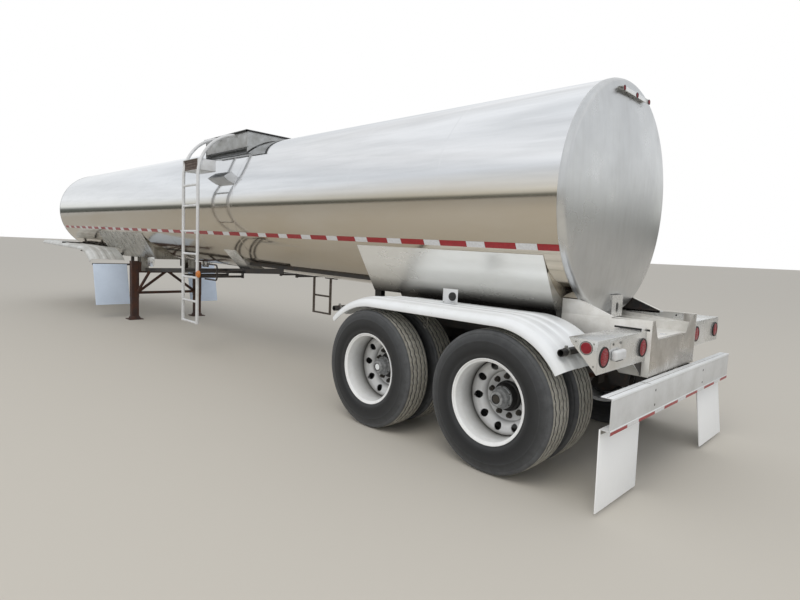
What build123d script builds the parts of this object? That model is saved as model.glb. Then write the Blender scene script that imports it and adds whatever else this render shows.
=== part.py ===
from build123d import *
import os
from math import atan2, cos, hypot, pi, radians, sin, sqrt, tan

# A tank semi-trailer, standing uncoupled on its tandem axles and its landing gear.
# Millimetres. +X is forward, +Y is the trailer's left, +Z is up.
# The origin is on the ground, on the centre line, in the middle of the overall length.

# Driving dimensions
overall_length = 14010
half_width = 1219
bumper_face_x = -overall_length / 2
nose_x = overall_length / 2
rear_axle_x = bumper_face_x + 880
axle_spacing = 1244.6
front_axle_x = rear_axle_x + axle_spacing
kingpin_x = rear_axle_x + 12000
leg_x = rear_axle_x + 8675
ladder_x = rear_axle_x + 5015

# Tank: a plain cylinder with shallow dished heads, laid a little nose up
tank_radius = 900
tank_slope = 0.8033
tank_rear_x = rear_axle_x - 291
tank_front_x = rear_axle_x + 12924
tank_rear_z = 1991.5
head_crown = 120
head_knuckle = 34
head_flange = 22

# Tyres and wheels: 22.5 in disc wheels in pairs
tire_radius = 508
tire_half_width = 137
outer_wheel_y = 1079.5
dual_half_spacing = 171.25
mount_plane_y = outer_wheel_y - dual_half_spacing
hand_hole_count = 10
hand_hole_circle = 230
hand_hole_radius = 30
first_hole_rear = 28.4
first_hole_front = 0.7

axle_beam_radius = 63.5
spindle_radius = 45
spindle_bore = 46

# Frame
rail_y = 418
rail_width = 64
subframe_top_z = 1050
subframe_bottom_z = 850
subframe_rear_x = rear_axle_x - 740
subframe_front_x = rear_axle_x + 1990
coupler_plate_z = 1190
coupler_rear_x = rear_axle_x + 10950
coupler_front_x = rear_axle_x + 12900
coupler_half_width = 480

# Fenders
fender_inner_y = 600
fender_outer_y = 1217
fender_rise = 78
sheet = 4

# Rear end
panel_x = rear_axle_x - 800
panel_half_width = 468
side_plate_y = 474

# Ladders
ladder_y = 1110
ladder_half_width = 225
ladder_bottom_z = 445
ladder_bend_z = 2400
ladder_bend_radius = 600
ladder_tube_radius = 21
rung_radius = 16

# Platform and manway
platform_top_z = 3020
platform_skirt_z = 2810
platform_sheet = 5
platform_half_length = 610
platform_half_width = 600
manway_x = rear_axle_x + 5060
manway_radius = 254
manway_wall = 8
manway_top_z = 3070

os.makedirs("parts", exist_ok=True)


def tank_z(x):
    """Height of the tank's axis over the place x."""
    return tank_rear_z + (x - tank_rear_x) * tan(radians(tank_slope))


def save(name, *solids):
    """Write one node. Its solids are separate pieces that don't touch."""
    flat = []
    for one in solids:
        flat.extend(one.solids())
    export_step(Compound(children=flat) if len(flat) > 1 else flat[0], f"parts/{name}.step")


def block(x0, x1, y0, y1, z0, z1):
    """A box between two corners."""
    centre = ((x0 + x1) / 2, (y0 + y1) / 2, (z0 + z1) / 2)
    return Pos(*centre) * Box(abs(x1 - x0), abs(y1 - y0), abs(z1 - z0))


def rod(start, end, radius):
    """A round bar between two points."""
    along = Vector(*end) - Vector(*start)
    plane = Plane(origin=start, z_dir=along)
    return extrude(plane * Circle(radius), amount=along.length)


def pipe(path, radius, start_direction):
    """A round tube swept along a path of lines and tangent arcs."""
    plane = Plane(origin=path @ 0, z_dir=start_direction)
    return sweep(plane * Circle(radius), path=path)


def side_plate(points, y0, y1):
    """A plate of (x, z) outline between two values of y."""
    outline = make_face(Polyline(*[(x, 0, z) for x, z in points], close=True))
    plate = extrude(outline, amount=y1 - y0, dir=(0, 1, 0))
    return Pos(0, y0, 0) * plate


def cross_plate(points, x0, x1):
    """A plate of (y, z) outline between two values of x."""
    outline = make_face(Polyline(*[(0, y, z) for y, z in points], close=True))
    plate = extrude(outline, amount=x1 - x0, dir=(1, 0, 0))
    return Pos(x0, 0, 0) * plate


def across(shape):
    """The same piece on the other side of the centre line."""
    return mirror(shape, about=Plane.XZ)


def band(points, thickness):
    """A face of even thickness on the left of an open run of (a, b) points."""
    count = len(points)
    directions = []
    for i in range(count - 1):
        da = points[i + 1][0] - points[i][0]
        db = points[i + 1][1] - points[i][1]
        length = hypot(da, db)
        directions.append((da / length, db / length))
    far_side = []
    for i in range(count):
        before = directions[max(i - 1, 0)]
        after = directions[min(i, count - 2)]
        na = -(before[1] + after[1])
        nb = before[0] + after[0]
        size = hypot(na, nb)
        na, nb = na / size, nb / size
        stretch = thickness / (na * -after[1] + nb * after[0])
        far_side.append((points[i][0] + na * stretch, points[i][1] + nb * stretch))
    return make_face(Polyline(*points, *reversed(far_side), close=True))


def turned(profile_face):
    """A solid of revolution about the Y axis from a face of (y, radius) points."""
    return Rot(0, 0, 90) * revolve(profile_face, axis=Axis.X)


# Tank

def tank_frame(shape):
    """Lay a shape built along +X from the rear head's rim onto the tank's axis."""
    return Pos(tank_rear_x, 0, tank_rear_z) * Rot(0, -tank_slope, 0) * shape


tank_length = (tank_front_x - tank_rear_x) / cos(radians(tank_slope))


def head():
    """A dished head that bulges along -X: a straight flange, a knuckle and a dome tangent to it."""
    ring = tank_radius - head_knuckle
    dome_radius = (head_crown ** 2 - head_knuckle ** 2 + ring ** 2) / (2 * (head_crown - head_knuckle))
    lean = atan2(ring, dome_radius - head_crown)
    join = (-head_knuckle * cos(lean), ring + head_knuckle * sin(lean))
    middle = (pi / 2 + lean) / 2
    knuckle = ThreePointArc((0, tank_radius),
                            (-head_knuckle * cos(middle), ring + head_knuckle * sin(middle)), join)
    half = lean / 2
    dome_centre = dome_radius - head_crown
    dome = ThreePointArc(join, (dome_centre - dome_radius * cos(half), dome_radius * sin(half)),
                         (-head_crown, 0))
    rim = Polyline((-head_crown, 0), (head_flange, 0), (head_flange, tank_radius), (0, tank_radius))
    return revolve(make_face([knuckle, dome, rim]), axis=Axis.X)


rear_head = tank_frame(head())
front_head = tank_frame(Pos(tank_length, 0, 0) * Rot(0, 0, 180) * head())
shell = tank_frame(
    Pos(head_flange, 0, 0) * Rot(0, 90, 0)
    * Cylinder(tank_radius, tank_length - 2 * head_flange,
               align=(Align.CENTER, Align.CENTER, Align.MIN)))
save("tank_shell", shell)
save("tank_heads", rear_head, front_head)
tank_keepout = tank_frame(
    Pos(-200, 0, 0) * Rot(0, 90, 0)
    * Cylinder(tank_radius, tank_length + 400, align=(Align.CENTER, Align.CENTER, Align.MIN)))

# Manway: a short neck on top of the shell, and its hinged lid

neck_bottom_z = tank_z(manway_x) + tank_radius - 60
neck = Pos(manway_x, 0, neck_bottom_z) * Cylinder(
    manway_radius + manway_wall, manway_top_z - neck_bottom_z,
    align=(Align.CENTER, Align.CENTER, Align.MIN))
neck -= Pos(manway_x, 0, neck_bottom_z) * Cylinder(
    manway_radius, manway_top_z - neck_bottom_z + 5,
    align=(Align.CENTER, Align.CENTER, Align.MIN))
neck -= tank_keepout
lid_hinge_x = manway_x + manway_radius + 50
lid_hinge_z = manway_top_z + 12
lid_radius = manway_radius + 12
lug_inner_x = manway_x + manway_radius + manway_wall - 2
for y in (-60, 60):
    lug = side_plate([
        (lug_inner_x, manway_top_z - 60), (lug_inner_x, manway_top_z - 6),
        (manway_x + lid_radius + 8, manway_top_z - 6), (manway_x + lid_radius + 8, lid_hinge_z + 14),
        (lid_hinge_x + 14, lid_hinge_z + 14), (lid_hinge_x + 14, lid_hinge_z - 20)], y - 6, y + 6)
    lug -= rod((lid_hinge_x, y - 20, lid_hinge_z), (lid_hinge_x, y + 20, lid_hinge_z), 8.3)
    neck += lug
save("manway_neck", neck)

lid_profile = make_face([
    ThreePointArc((0, 56), (140, 45), (lid_radius, 14)),
    Polyline((lid_radius, 14), (lid_radius, 1), (0, 1), (0, 56))])
lid = Pos(manway_x, 0, manway_top_z) * revolve(Plane.XZ * lid_profile, axis=Axis.Z)
lid += block(manway_x + manway_radius - 20, lid_hinge_x, -46, 46,
             lid_hinge_z - 6, lid_hinge_z + 8)
lid += rod((lid_hinge_x, -47, lid_hinge_z), (lid_hinge_x, 47, lid_hinge_z), 13)
lid += rod((lid_hinge_x, -75, lid_hinge_z), (lid_hinge_x, 75, lid_hinge_z), 8)
handle_x = manway_x - manway_radius - 12
lid += block(handle_x - 40, handle_x + 25, -20, 20, manway_top_z + 4, manway_top_z + 16)
save("manway_lid", lid)

# Top platform, between the two ladders

platform_rear_x = manway_x - platform_half_length
platform_front_x = manway_x + platform_half_length
platform_bottom_z = platform_top_z - platform_sheet
platform = block(platform_rear_x, platform_front_x, -platform_half_width, platform_half_width,
                 platform_bottom_z, platform_top_z)
platform -= Pos(manway_x, 0, platform_bottom_z) * Cylinder(manway_radius + 70, 60)
for y in (-platform_half_width, platform_half_width - platform_sheet):
    platform += block(platform_rear_x, platform_front_x, y, y + platform_sheet,
                      platform_skirt_z, platform_bottom_z)
for x in (platform_rear_x, platform_front_x - platform_sheet):
    seat = Pos(0, 0, tank_z(x)) * Rot(0, 90, 0) * Circle(tank_radius + 1)
    end = make_face(Polyline((0, -platform_half_width, platform_skirt_z),
                             (0, platform_half_width, platform_skirt_z),
                             (0, platform_half_width, platform_bottom_z),
                             (0, -platform_half_width, platform_bottom_z), close=True)) - seat
    platform += extrude(Pos(x, 0, 0) * end, amount=platform_sheet, dir=(1, 0, 0))
save("top_platform", platform)

# Saddles: flat skirts tangent to the tank on both sides, joined by webs cut to its curve

skirt_gap = 0.6
skirt_sheet = 5
skirt_drop = 700
web_sheet = 8
web_start = 150


def on_axis(x):
    """Distance along the tank's axis from the rear head's rim, for a place x."""
    return (x - tank_rear_x) / cos(radians(tank_slope))


def tank_seat(along, length):
    """What a plate across the tank loses to the tank and its fitting gap."""
    return Pos(along, 0, 0) * Rot(0, 90, 0) * Cylinder(
        tank_radius + skirt_gap, length, align=(Align.CENTER, Align.CENTER, Align.MIN))


def saddle(x0, x1, angle, bottom_z, webs):
    """Skirts that leave the tank at an angle below its axis, and webs at places between them."""
    lean = radians(angle)
    near = tank_radius + skirt_gap
    down = (-sin(lean), -cos(lean))
    out = (cos(lean), -sin(lean))
    top = (near * cos(lean), -near * sin(lean))
    low = (top[0] + skirt_drop * down[0], top[1] + skirt_drop * down[1])
    sheet_face = make_face(Polyline(
        (0, *top), (0, *low), (0, low[0] + skirt_sheet * out[0], low[1] + skirt_sheet * out[1]),
        (0, top[0] + skirt_sheet * out[0], top[1] + skirt_sheet * out[1]), close=True))
    start = on_axis(x0)
    skirt = Pos(start, 0, 0) * extrude(sheet_face, amount=on_axis(x1) - start, dir=(1, 0, 0))
    whole = skirt + across(skirt)
    web_top = (top[0] + web_start * down[0], top[1] + web_start * down[1])
    for place in webs:
        web_face = make_face(Polyline((0, *web_top), (0, *low), (0, -low[0], low[1]),
                                      (0, -web_top[0], web_top[1]), close=True))
        web = Pos(on_axis(place), 0, 0) * extrude(web_face, amount=web_sheet, dir=(1, 0, 0))
        whole += web - tank_seat(on_axis(place) - 5, web_sheet + 10)
    floor = block(x0 - 100, x1 + 100, -900, 900, bottom_z - 900, bottom_z)
    return tank_frame(whole) - floor


rear_saddle = saddle(rear_axle_x - 130, rear_axle_x + 1920, 30.5, subframe_top_z,
                     (rear_axle_x - 128, rear_axle_x + 900, rear_axle_x + 1910))
notch_x = rear_axle_x + 1550
notch_top_z = 1115
rear_saddle -= block(notch_x, subframe_front_x, -600, 600, subframe_top_z - 10, notch_top_z)
post = block(rear_axle_x + 1857, rear_axle_x + 1948, rail_y + 22, rail_y + 77,
             subframe_top_z, notch_top_z + 10)
rear_saddle += post + across(post)  # the front end stands on a post
middle_saddle = saddle(rear_axle_x + 4620, rear_axle_x + 4960, 44, 1172,
                       (rear_axle_x + 4622, rear_axle_x + 4948))
front_saddle = saddle(rear_axle_x + 7800, rear_axle_x + 10350, 30.5, 1190,
                      (rear_axle_x + 7802, rear_axle_x + 8770, rear_axle_x + 10338))

# Main frame: runners along the tank's belly, and sloping channels down to the landing gear


def channel(x0, x1, y, z0, z1, width, wall, opens):
    """A channel along X. opens is -1 or +1, the side in Y that its open face looks to."""
    solid = block(x0, x1, y - width / 2, y + width / 2, z0, z1)
    inner_y0 = y - width / 2 + (0 if opens < 0 else wall)
    inner_y1 = y + width / 2 - (wall if opens < 0 else 0)
    return solid - block(x0 - 1, x1 + 1, inner_y0, inner_y1, z0 + wall, z1 - wall)


runner_depth = 824
runner = block(on_axis(rear_axle_x + 1990), on_axis(rear_axle_x + 4615), rail_y - 18, rail_y + 18,
               -runner_depth, -700)
runner = tank_frame(runner - tank_seat(on_axis(rear_axle_x + 1900), 2900))
sloping_height = 70
sloping_rear_x = rear_axle_x + 3750
sloping_front_x = rear_axle_x + 8800
sloping_front_z = 910
sloping_fall = atan2(0.27, 5.37)
sloping_length = (sloping_front_x - sloping_rear_x) / cos(sloping_fall)
sloping_place = Pos(sloping_front_x, 0, sloping_front_z) * Rot(0, sloping_fall * 180 / pi, 0)
sloping = sloping_place * channel(-sloping_length, 0, rail_y, 0, sloping_height, rail_width, 7, -1)
sloping -= runner
sloping_hull = sloping_place * block(-sloping_length, 0, rail_y - rail_width / 2,
                                     rail_y + rail_width / 2, 0, sloping_height)
ties = []
for place in (0.28, 0.52, 0.76):
    along = -sloping_length * (1 - place)
    ties.append(sloping_place * block(along - 20, along + 20, -(rail_y - rail_width / 2 - 0.5),
                                      rail_y - rail_width / 2 - 0.5, 8, 48))
save("frame_rails", runner, across(runner), sloping, across(sloping), *ties)
for hull in (sloping_hull, across(sloping_hull)):
    middle_saddle -= hull
for place in (8565, 8770):  # hangers from the front saddle down to the landing gear's channels
    x = rear_axle_x + place
    hanger = block(x, x + 12, rail_y - rail_width / 2, 520, 930, 1205)
    for side_hanger, hull in ((hanger, sloping_hull), (across(hanger), across(sloping_hull))):
        front_saddle += side_hanger - hull - tank_frame(tank_seat(on_axis(x) - 50, 150))
save("saddles", rear_saddle, middle_saddle, front_saddle)

# Suspension subframe

sub_rail = channel(subframe_rear_x, subframe_front_x, rail_y, subframe_bottom_z,
                   subframe_top_z, rail_width, 9, -1)
subframe = sub_rail + across(sub_rail)
for place in (-60, 622, 1830):
    x = rear_axle_x + place
    subframe += block(x - 45, x + 45, -(rail_y + 25), rail_y + 25,
                      subframe_bottom_z, subframe_bottom_z + 110)
save("suspension_subframe", subframe)

# Spring hangers, leaf springs, equalizers and radius rods

spring_z = 640
spring_rise = 78
spring_width = 76
leaf_thickness = 13
hanger_table = [  # x from the rear axle, length along X, bottom z
    (-600, 130, 640),
    (622, 170, 560),
    (1845, 130, 560),
]
hangers = []
for place, length, bottom in hanger_table:
    x = rear_axle_x + place
    hanger = side_plate([(x - length / 2 - 30, subframe_bottom_z), (x + length / 2 + 30, subframe_bottom_z),
                         (x + length / 2, bottom), (x - length / 2, bottom)],
                        rail_y - 48, rail_y + 48)
    hanger -= block(x - 300, x + 300, rail_y - 40, rail_y + 40, bottom - 1, subframe_bottom_z - 10)
    hanger += block(x - 12, x + 12, rail_y - 40, rail_y + 40, bottom, bottom + 40)
    hangers += [hanger, across(hanger)]
save("spring_hangers", *hangers)


def leaf_spring(axle_x):
    """Three leaves, each shorter than the one above, bowed up at the ends."""
    pack = None
    for index, half_length in enumerate((535, 400, 260)):
        drop = index * leaf_thickness
        rise = spring_rise * (half_length / 535) ** 2
        low = spring_z - drop
        upper = ThreePointArc((axle_x - half_length, 0, low + rise), (axle_x, 0, low),
                              (axle_x + half_length, 0, low + rise))
        right = Line((axle_x + half_length, 0, low + rise),
                     (axle_x + half_length, 0, low + rise - leaf_thickness))
        lower = ThreePointArc((axle_x + half_length, 0, low + rise - leaf_thickness),
                              (axle_x, 0, low - leaf_thickness),
                              (axle_x - half_length, 0, low + rise - leaf_thickness))
        left = Line((axle_x - half_length, 0, low + rise - leaf_thickness),
                    (axle_x - half_length, 0, low + rise))
        leaf = extrude(make_face([upper, right, lower, left]), amount=spring_width, dir=(0, 1, 0))
        pack = leaf if pack is None else pack + leaf
    return Pos(0, rail_y - spring_width / 2, 0) * pack


seat_bottom_z = 520
springs = []
for axle_x in (rear_axle_x, front_axle_x):
    spring = leaf_spring(axle_x)
    clamp = block(axle_x - 75, axle_x + 75, rail_y - 48, rail_y + 48,
                  seat_bottom_z, spring_z - 3 * leaf_thickness)
    clamp += block(axle_x - 60, axle_x + 60, rail_y - 48, rail_y + 48, spring_z, spring_z + 22)
    clamp -= rod((axle_x, 0, tire_radius), (axle_x, 700, tire_radius), axle_beam_radius)
    spring += clamp
    springs += [spring, across(spring)]
save("leaf_springs", *springs)

equalizer_x = rear_axle_x + 622
equalizer = side_plate([(equalizer_x - 160, 742), (equalizer_x + 160, 742), (equalizer_x + 165, 765),
                        (equalizer_x + 50, 800), (equalizer_x - 50, 800), (equalizer_x - 165, 765)],
                       rail_y - 38, rail_y + 38)

links = [equalizer, across(equalizer)]
for start_place, axle_x in ((622, rear_axle_x), (1845, front_axle_x)):
    bar = rod((rear_axle_x + start_place - 12, rail_y, 580), (axle_x + 70, rail_y, 545), 16)
    bar -= block(axle_x - 75, axle_x + 75, rail_y - 48, rail_y + 48, seat_bottom_z, spring_z)
    bar -= block(rear_axle_x + start_place - 12, rear_axle_x + start_place + 60,
                 rail_y - 40, rail_y + 40, 500, 700)
    links += [bar, across(bar)]
save("suspension_links", *links)

# Axles: a round beam with stub ends that run inside the hubs

axle_profile = make_face(Polyline(
    (0, 0), (1040, 0), (1040, 32), (1000, spindle_radius), (648, spindle_radius),
    (600, axle_beam_radius), (0, axle_beam_radius), close=True))
shield_profile = make_face(Polyline((660, 40), (660, 205), (666, 205), (666, 40), close=True))


def axle(x):
    half = turned(axle_profile) + turned(shield_profile)
    return Pos(x, 0, tire_radius) * (half + across(half))


save("axle_rear", axle(rear_axle_x))
save("axle_front", axle(front_axle_x))

# Brake chambers and cam shafts

chamber_y = 272
brakes = []
for axle_x in (rear_axle_x, front_axle_x):
    cam_x = axle_x - 105
    chamber_z = tire_radius + 10
    rod_z = chamber_z + 140
    shaft = rod((cam_x, 660, chamber_z), (cam_x, chamber_y - 15, chamber_z), 19)
    arm = block(cam_x - 22, cam_x + 22, chamber_y - 12, chamber_y + 8, chamber_z - 20, rod_z + 10)
    chamber = rod((cam_x - 52, chamber_y, rod_z), (cam_x - 200, chamber_y, rod_z), 78)
    chamber += rod((cam_x + 10, chamber_y, rod_z), (cam_x - 60, chamber_y, rod_z), 9)
    bracket = block(cam_x - 52, cam_x - 40, chamber_y - 55, chamber_y + 65, chamber_z - 60, rod_z + 60)
    bracket += block(cam_x - 52, axle_x - 20, chamber_y - 40, chamber_y - 25, chamber_z - 60, chamber_z - 20)
    beam = rod((axle_x, -700, tire_radius), (axle_x, 700, tire_radius), axle_beam_radius)
    whole = shaft + arm + chamber + bracket - beam
    brakes += [whole, across(whole)]
save("brake_chambers", *brakes)

# Air reservoir between the rails

reservoir_x = rear_axle_x + 1380
reservoir_z = subframe_top_z - 140
reservoir_profile = make_face([
    Polyline((0, 0), (0, -330), (60, -330)),
    ThreePointArc((60, -330), (105, -318), (120, -280)),
    Line((120, -280), (120, 280)),
    ThreePointArc((120, 280), (105, 318), (60, 330)),
    Polyline((60, 330), (0, 330), (0, 0))])
reservoir = Pos(reservoir_x, 0, reservoir_z) * revolve(reservoir_profile, axis=Axis.Y)
straps = None
for y in (-200, 200):
    strap = Pos(reservoir_x, y, reservoir_z) * Rot(90, 0, 0) * Cylinder(125, 40)
    strap += block(reservoir_x - 60, reservoir_x + 60, y - 20, y + 20, reservoir_z, subframe_top_z - 9)
    reservoir += strap
reservoir += block(reservoir_x - 60, reservoir_x + 60, -rail_y, rail_y, subframe_top_z - 19,
                   subframe_top_z - 9)
save("air_reservoir", reservoir)

# Wheels: two tyres, two disc wheels clamped together, and a hub with its drum

tire_profile = make_face([
    Polyline((-99, 293), (99, 293), (110, 306)),
    ThreePointArc((110, 306), (tire_half_width, 398), (124, 480)),
    ThreePointArc((124, 480), (116, 498), (98, 505)),
    Line((98, 505), (0, tire_radius)),
    Line((0, tire_radius), (-98, 505)),
    ThreePointArc((-98, 505), (-116, 498), (-124, 480)),
    ThreePointArc((-124, 480), (-tire_half_width, 398), (-110, 306)),
    Line((-110, 306), (-99, 293))])

rim_wall = 7
rim_run = [  # axial place and radius along the rim's inside
    (117, 298),
    (109, 292),
    (105, 280),
    (60, 273),
    (-58, 272),
    (-105, 280),
    (-109, 292),
    (-117, 298),
]
disc_run = [  # axial place and radius along the disc's mounting side, outer wheel
    (-dual_half_spacing, 110),
    (-dual_half_spacing, 180),
    (-164, 186),
    (-128, 204),
    (-116, 222),
    (-112, 245),
    (-104, 262),
    (-86, 280),
]
disc_wall = 11


def wheel_pair(first_hole):
    rim = turned(band(list(reversed(rim_run)), rim_wall))
    disc = turned(band(list(reversed(disc_run)), disc_wall))
    for i in range(hand_hole_count):
        angle = radians(first_hole) + 2 * pi * i / hand_hole_count
        place = (hand_hole_circle * cos(angle), hand_hole_circle * sin(angle))
        disc -= rod((place[0], -200, place[1]), (place[0], 0, place[1]), hand_hole_radius)
    one = Pos(0, dual_half_spacing, 0) * (rim + disc)
    return one + across(one)


hub_profile = make_face(Polyline(
    (-232, spindle_bore), (142, spindle_bore), (142, 0), (160, 0), (160, 58), (155, 65),
    (146, 67), (138, 84), (24, 96), (18, 109), (-11, 109), (-11, 166), (-24, 170),
    (-62, 200), (-78, 208), (-222, 222), (-222, 209.5), (-84, 200), (-44, 160), (-44, 104),
    (-190, 96), (-232, 84), close=True))

rear_pair = wheel_pair(first_hole_rear)
front_pair = wheel_pair(first_hole_front)
wheel_table = [  # name, x, side, wheels
    ("rear_left", rear_axle_x, 1, rear_pair),
    ("rear_right", rear_axle_x, -1, rear_pair),
    ("front_left", front_axle_x, 1, front_pair),
    ("front_right", front_axle_x, -1, front_pair),
]
tire = turned(tire_profile)
hub = turned(hub_profile)
for name, x, side, pair in wheel_table:
    place = Pos(x, side * mount_plane_y, tire_radius)
    hub_here = hub if side > 0 else across(hub)
    save(f"tires_{name}",
         place * Pos(0, dual_half_spacing, 0) * tire,
         place * Pos(0, -dual_half_spacing, 0) * tire)
    save(f"wheels_{name}", place * pair)
    save(f"hub_{name}", place * hub_here)

# Fenders: one long ribbed sheet per side over the tandem, one per side over the tractor's axles

fender_section = [  # y, height above the outer lip; five shallow ribs run along the sheet
    (fender_outer_y, 0),
    (fender_outer_y, 34),
    (fender_outer_y - 34, fender_rise - 8),
    (1120, fender_rise),
    (1100, fender_rise + 9),
    (1060, fender_rise + 9),
    (1040, fender_rise - 2),
    (980, fender_rise - 4),
    (960, fender_rise + 5),
    (920, fender_rise + 5),
    (900, fender_rise - 6),
    (840, fender_rise - 8),
    (820, fender_rise + 1),
    (780, fender_rise + 1),
    (760, fender_rise - 10),
    (fender_inner_y, fender_rise - 14),
]


def fender(path, start, direction):
    """Sweep the ribbed section along an arch in the XZ plane."""
    plane = Plane(origin=start, x_dir=(0, 1, 0), z_dir=direction)
    section = plane * band([(y, h) for y, h in fender_section], sheet)
    return sweep(section, path=path)


rear_lip_z = 1040
rear_arc_x = rear_axle_x - 50
rear_arc_radius = 548
rear_arc_angle = radians(57)
tail_arc_x = rear_axle_x + 1220
tail_arc_radius = 704
tail_arc_angle = radians(42)


def arc_point(x, z, radius, angle, forward):
    """A point on an arch that leaves (x, z) level and bends down."""
    return (x + forward * radius * sin(angle), 0, z - radius * (1 - cos(angle)))


rear_end = arc_point(rear_arc_x, rear_lip_z, rear_arc_radius, rear_arc_angle, -1)
rear_mid = arc_point(rear_arc_x, rear_lip_z, rear_arc_radius, rear_arc_angle / 2, -1)
tail_end = arc_point(tail_arc_x, rear_lip_z, tail_arc_radius, tail_arc_angle, 1)
tail_mid = arc_point(tail_arc_x, rear_lip_z, tail_arc_radius, tail_arc_angle / 2, 1)
rear_path = Wire([
    ThreePointArc(rear_end, rear_mid, (rear_arc_x, 0, rear_lip_z)),
    Line((rear_arc_x, 0, rear_lip_z), (tail_arc_x, 0, rear_lip_z)),
    ThreePointArc((tail_arc_x, 0, rear_lip_z), tail_mid, tail_end)])
rear_fender = fender(rear_path, rear_end, (cos(rear_arc_angle), 0, sin(rear_arc_angle)))
save("rear_fender_left", rear_fender)
save("rear_fender_right", across(rear_fender))

front_slope = atan2(70, 3130)
front_bend_x = rear_axle_x + 9950
front_bend_z = 1280
front_arc_radius = 1200
front_arc_angle = radians(36) + front_slope
front_tip = (nose_x, 0, front_bend_z + (nose_x - front_bend_x) * tan(front_slope))
arc_centre = (front_bend_x + front_arc_radius * sin(front_slope),
              front_bend_z - front_arc_radius * cos(front_slope))


def front_arc(angle):
    """A point on the front fender's arch, angle back from its straight run."""
    total = front_slope + angle
    return (arc_centre[0] - front_arc_radius * sin(total), 0,
            arc_centre[1] + front_arc_radius * cos(total))


front_low = front_arc(radians(34))
front_path = Wire([
    ThreePointArc(front_low, front_arc(radians(17)), front_arc(0)),
    Line(front_arc(0), front_tip)])
low_tangent = front_slope + radians(34)
front_fender = fender(front_path, front_low, (cos(low_tangent), 0, sin(low_tangent)))
save("front_fender_left", front_fender)
save("front_fender_right", across(front_fender))

# Fender tubes: they reach out from the frame under the fenders

fender_tube_radius = 24
tube_clearance = fender_rise + 9 + fender_tube_radius
tube_places = [  # x, z, inner y, outer y
    (rear_arc_x - (rear_arc_radius + tube_clearance) * sin(radians(47)),
     rear_lip_z - rear_arc_radius + (rear_arc_radius + tube_clearance) * cos(radians(47)),
     side_plate_y, 1200),
    (rear_axle_x + 622, 1072, rail_y, 1165),
    (tail_arc_x + (tail_arc_radius + tube_clearance) * sin(radians(38)),
     rear_lip_z - tail_arc_radius + (tail_arc_radius + tube_clearance) * cos(radians(38)),
     rail_y + rail_width / 2, 1200),
]
tubes = []
for x, z, inner_y, outer_y in tube_places:
    bar = rod((x, inner_y, z), (x, outer_y, z), fender_tube_radius) - subframe - rear_saddle
    bar = max(bar.solids(), key=lambda piece: piece.volume)
    tubes += [bar, across(bar)]
save("fender_tubes", *tubes)

front_arms = []
for place, inner_y, inner_drop in ((9700, 505, 62), (11300, 437, 25), (12600, 437, 25)):
    x = rear_axle_x + place
    lip_z = front_bend_z + (x - front_bend_x) * tan(front_slope)
    if place < 9950:
        lip_z -= 33
    arm = rod((x, inner_y, lip_z + 30 - inner_drop), (x, 1165, lip_z + 30), fender_tube_radius)
    arm = max((arm - front_saddle).solids(), key=lambda piece: piece.volume)
    front_arms += [arm, across(arm)]
save("front_fender_arms", *front_arms)

# Marker plates that stand on the rear fenders, each with a round lamp

marker_rear_x = rear_axle_x + 510
marker_front_x = rear_axle_x + 660
marker_y = 930
marker_foot_z = rear_lip_z + fender_rise + 5 + sheet
marker = block(marker_rear_x, marker_front_x, marker_y - 2, marker_y + 2, marker_foot_z, 1240)
marker += block(marker_rear_x, marker_front_x, marker_y, marker_y + 26, marker_foot_z, marker_foot_z + 4)
marker += rod((marker_rear_x + 48, marker_y, 1182), (marker_rear_x + 48, marker_y + 26, 1182), 32)
save("fender_markers", marker, across(marker))

# Mud flaps

rear_flap_x = bumper_face_x + 66
rear_flaps = []
for side_sign, swing in ((1, 8), (-1, 62)):  # the right one hangs farther back
    flap = side_plate([(rear_flap_x, 530), (rear_flap_x + 10, 530), (rear_flap_x + 10 - swing, 22),
                       (rear_flap_x - swing, 22)], 598, 1200)
    rear_flaps.append(flap if side_sign > 0 else across(flap))
save("rear_mud_flaps", *rear_flaps)
flap_x = rear_axle_x + 9130
front_flap = side_plate([(flap_x, 1040), (flap_x + 10, 1040), (flap_x - 165, 262), (flap_x - 175, 262)],
                        600, 1205)
save("front_mud_flaps", front_flap, across(front_flap))
hanger_bar = block(flap_x + 10, flap_x + 42, 465, 1205, 1012, 1048)
hanger_bar += block(flap_x - 10, flap_x + 42, 465, 512, 1012, 1190)
save("front_flap_hangers", hanger_bar, across(hanger_bar))

# Ladders

rung_heights = [445, 730, 1050, 1366, 1670, 2010, 2280]


def ladder_rail(x):
    bend_end_y = ladder_y - ladder_bend_radius
    turn = radians(45)
    path = Wire([
        Line((x, ladder_y, ladder_bottom_z), (x, ladder_y, ladder_bend_z)),
        ThreePointArc((x, ladder_y, ladder_bend_z),
                      (x, bend_end_y + ladder_bend_radius * cos(turn),
                       ladder_bend_z + ladder_bend_radius * sin(turn)),
                      (x, bend_end_y, ladder_bend_z + ladder_bend_radius))])
    return pipe(path, ladder_tube_radius, (0, 0, 1))


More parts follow.
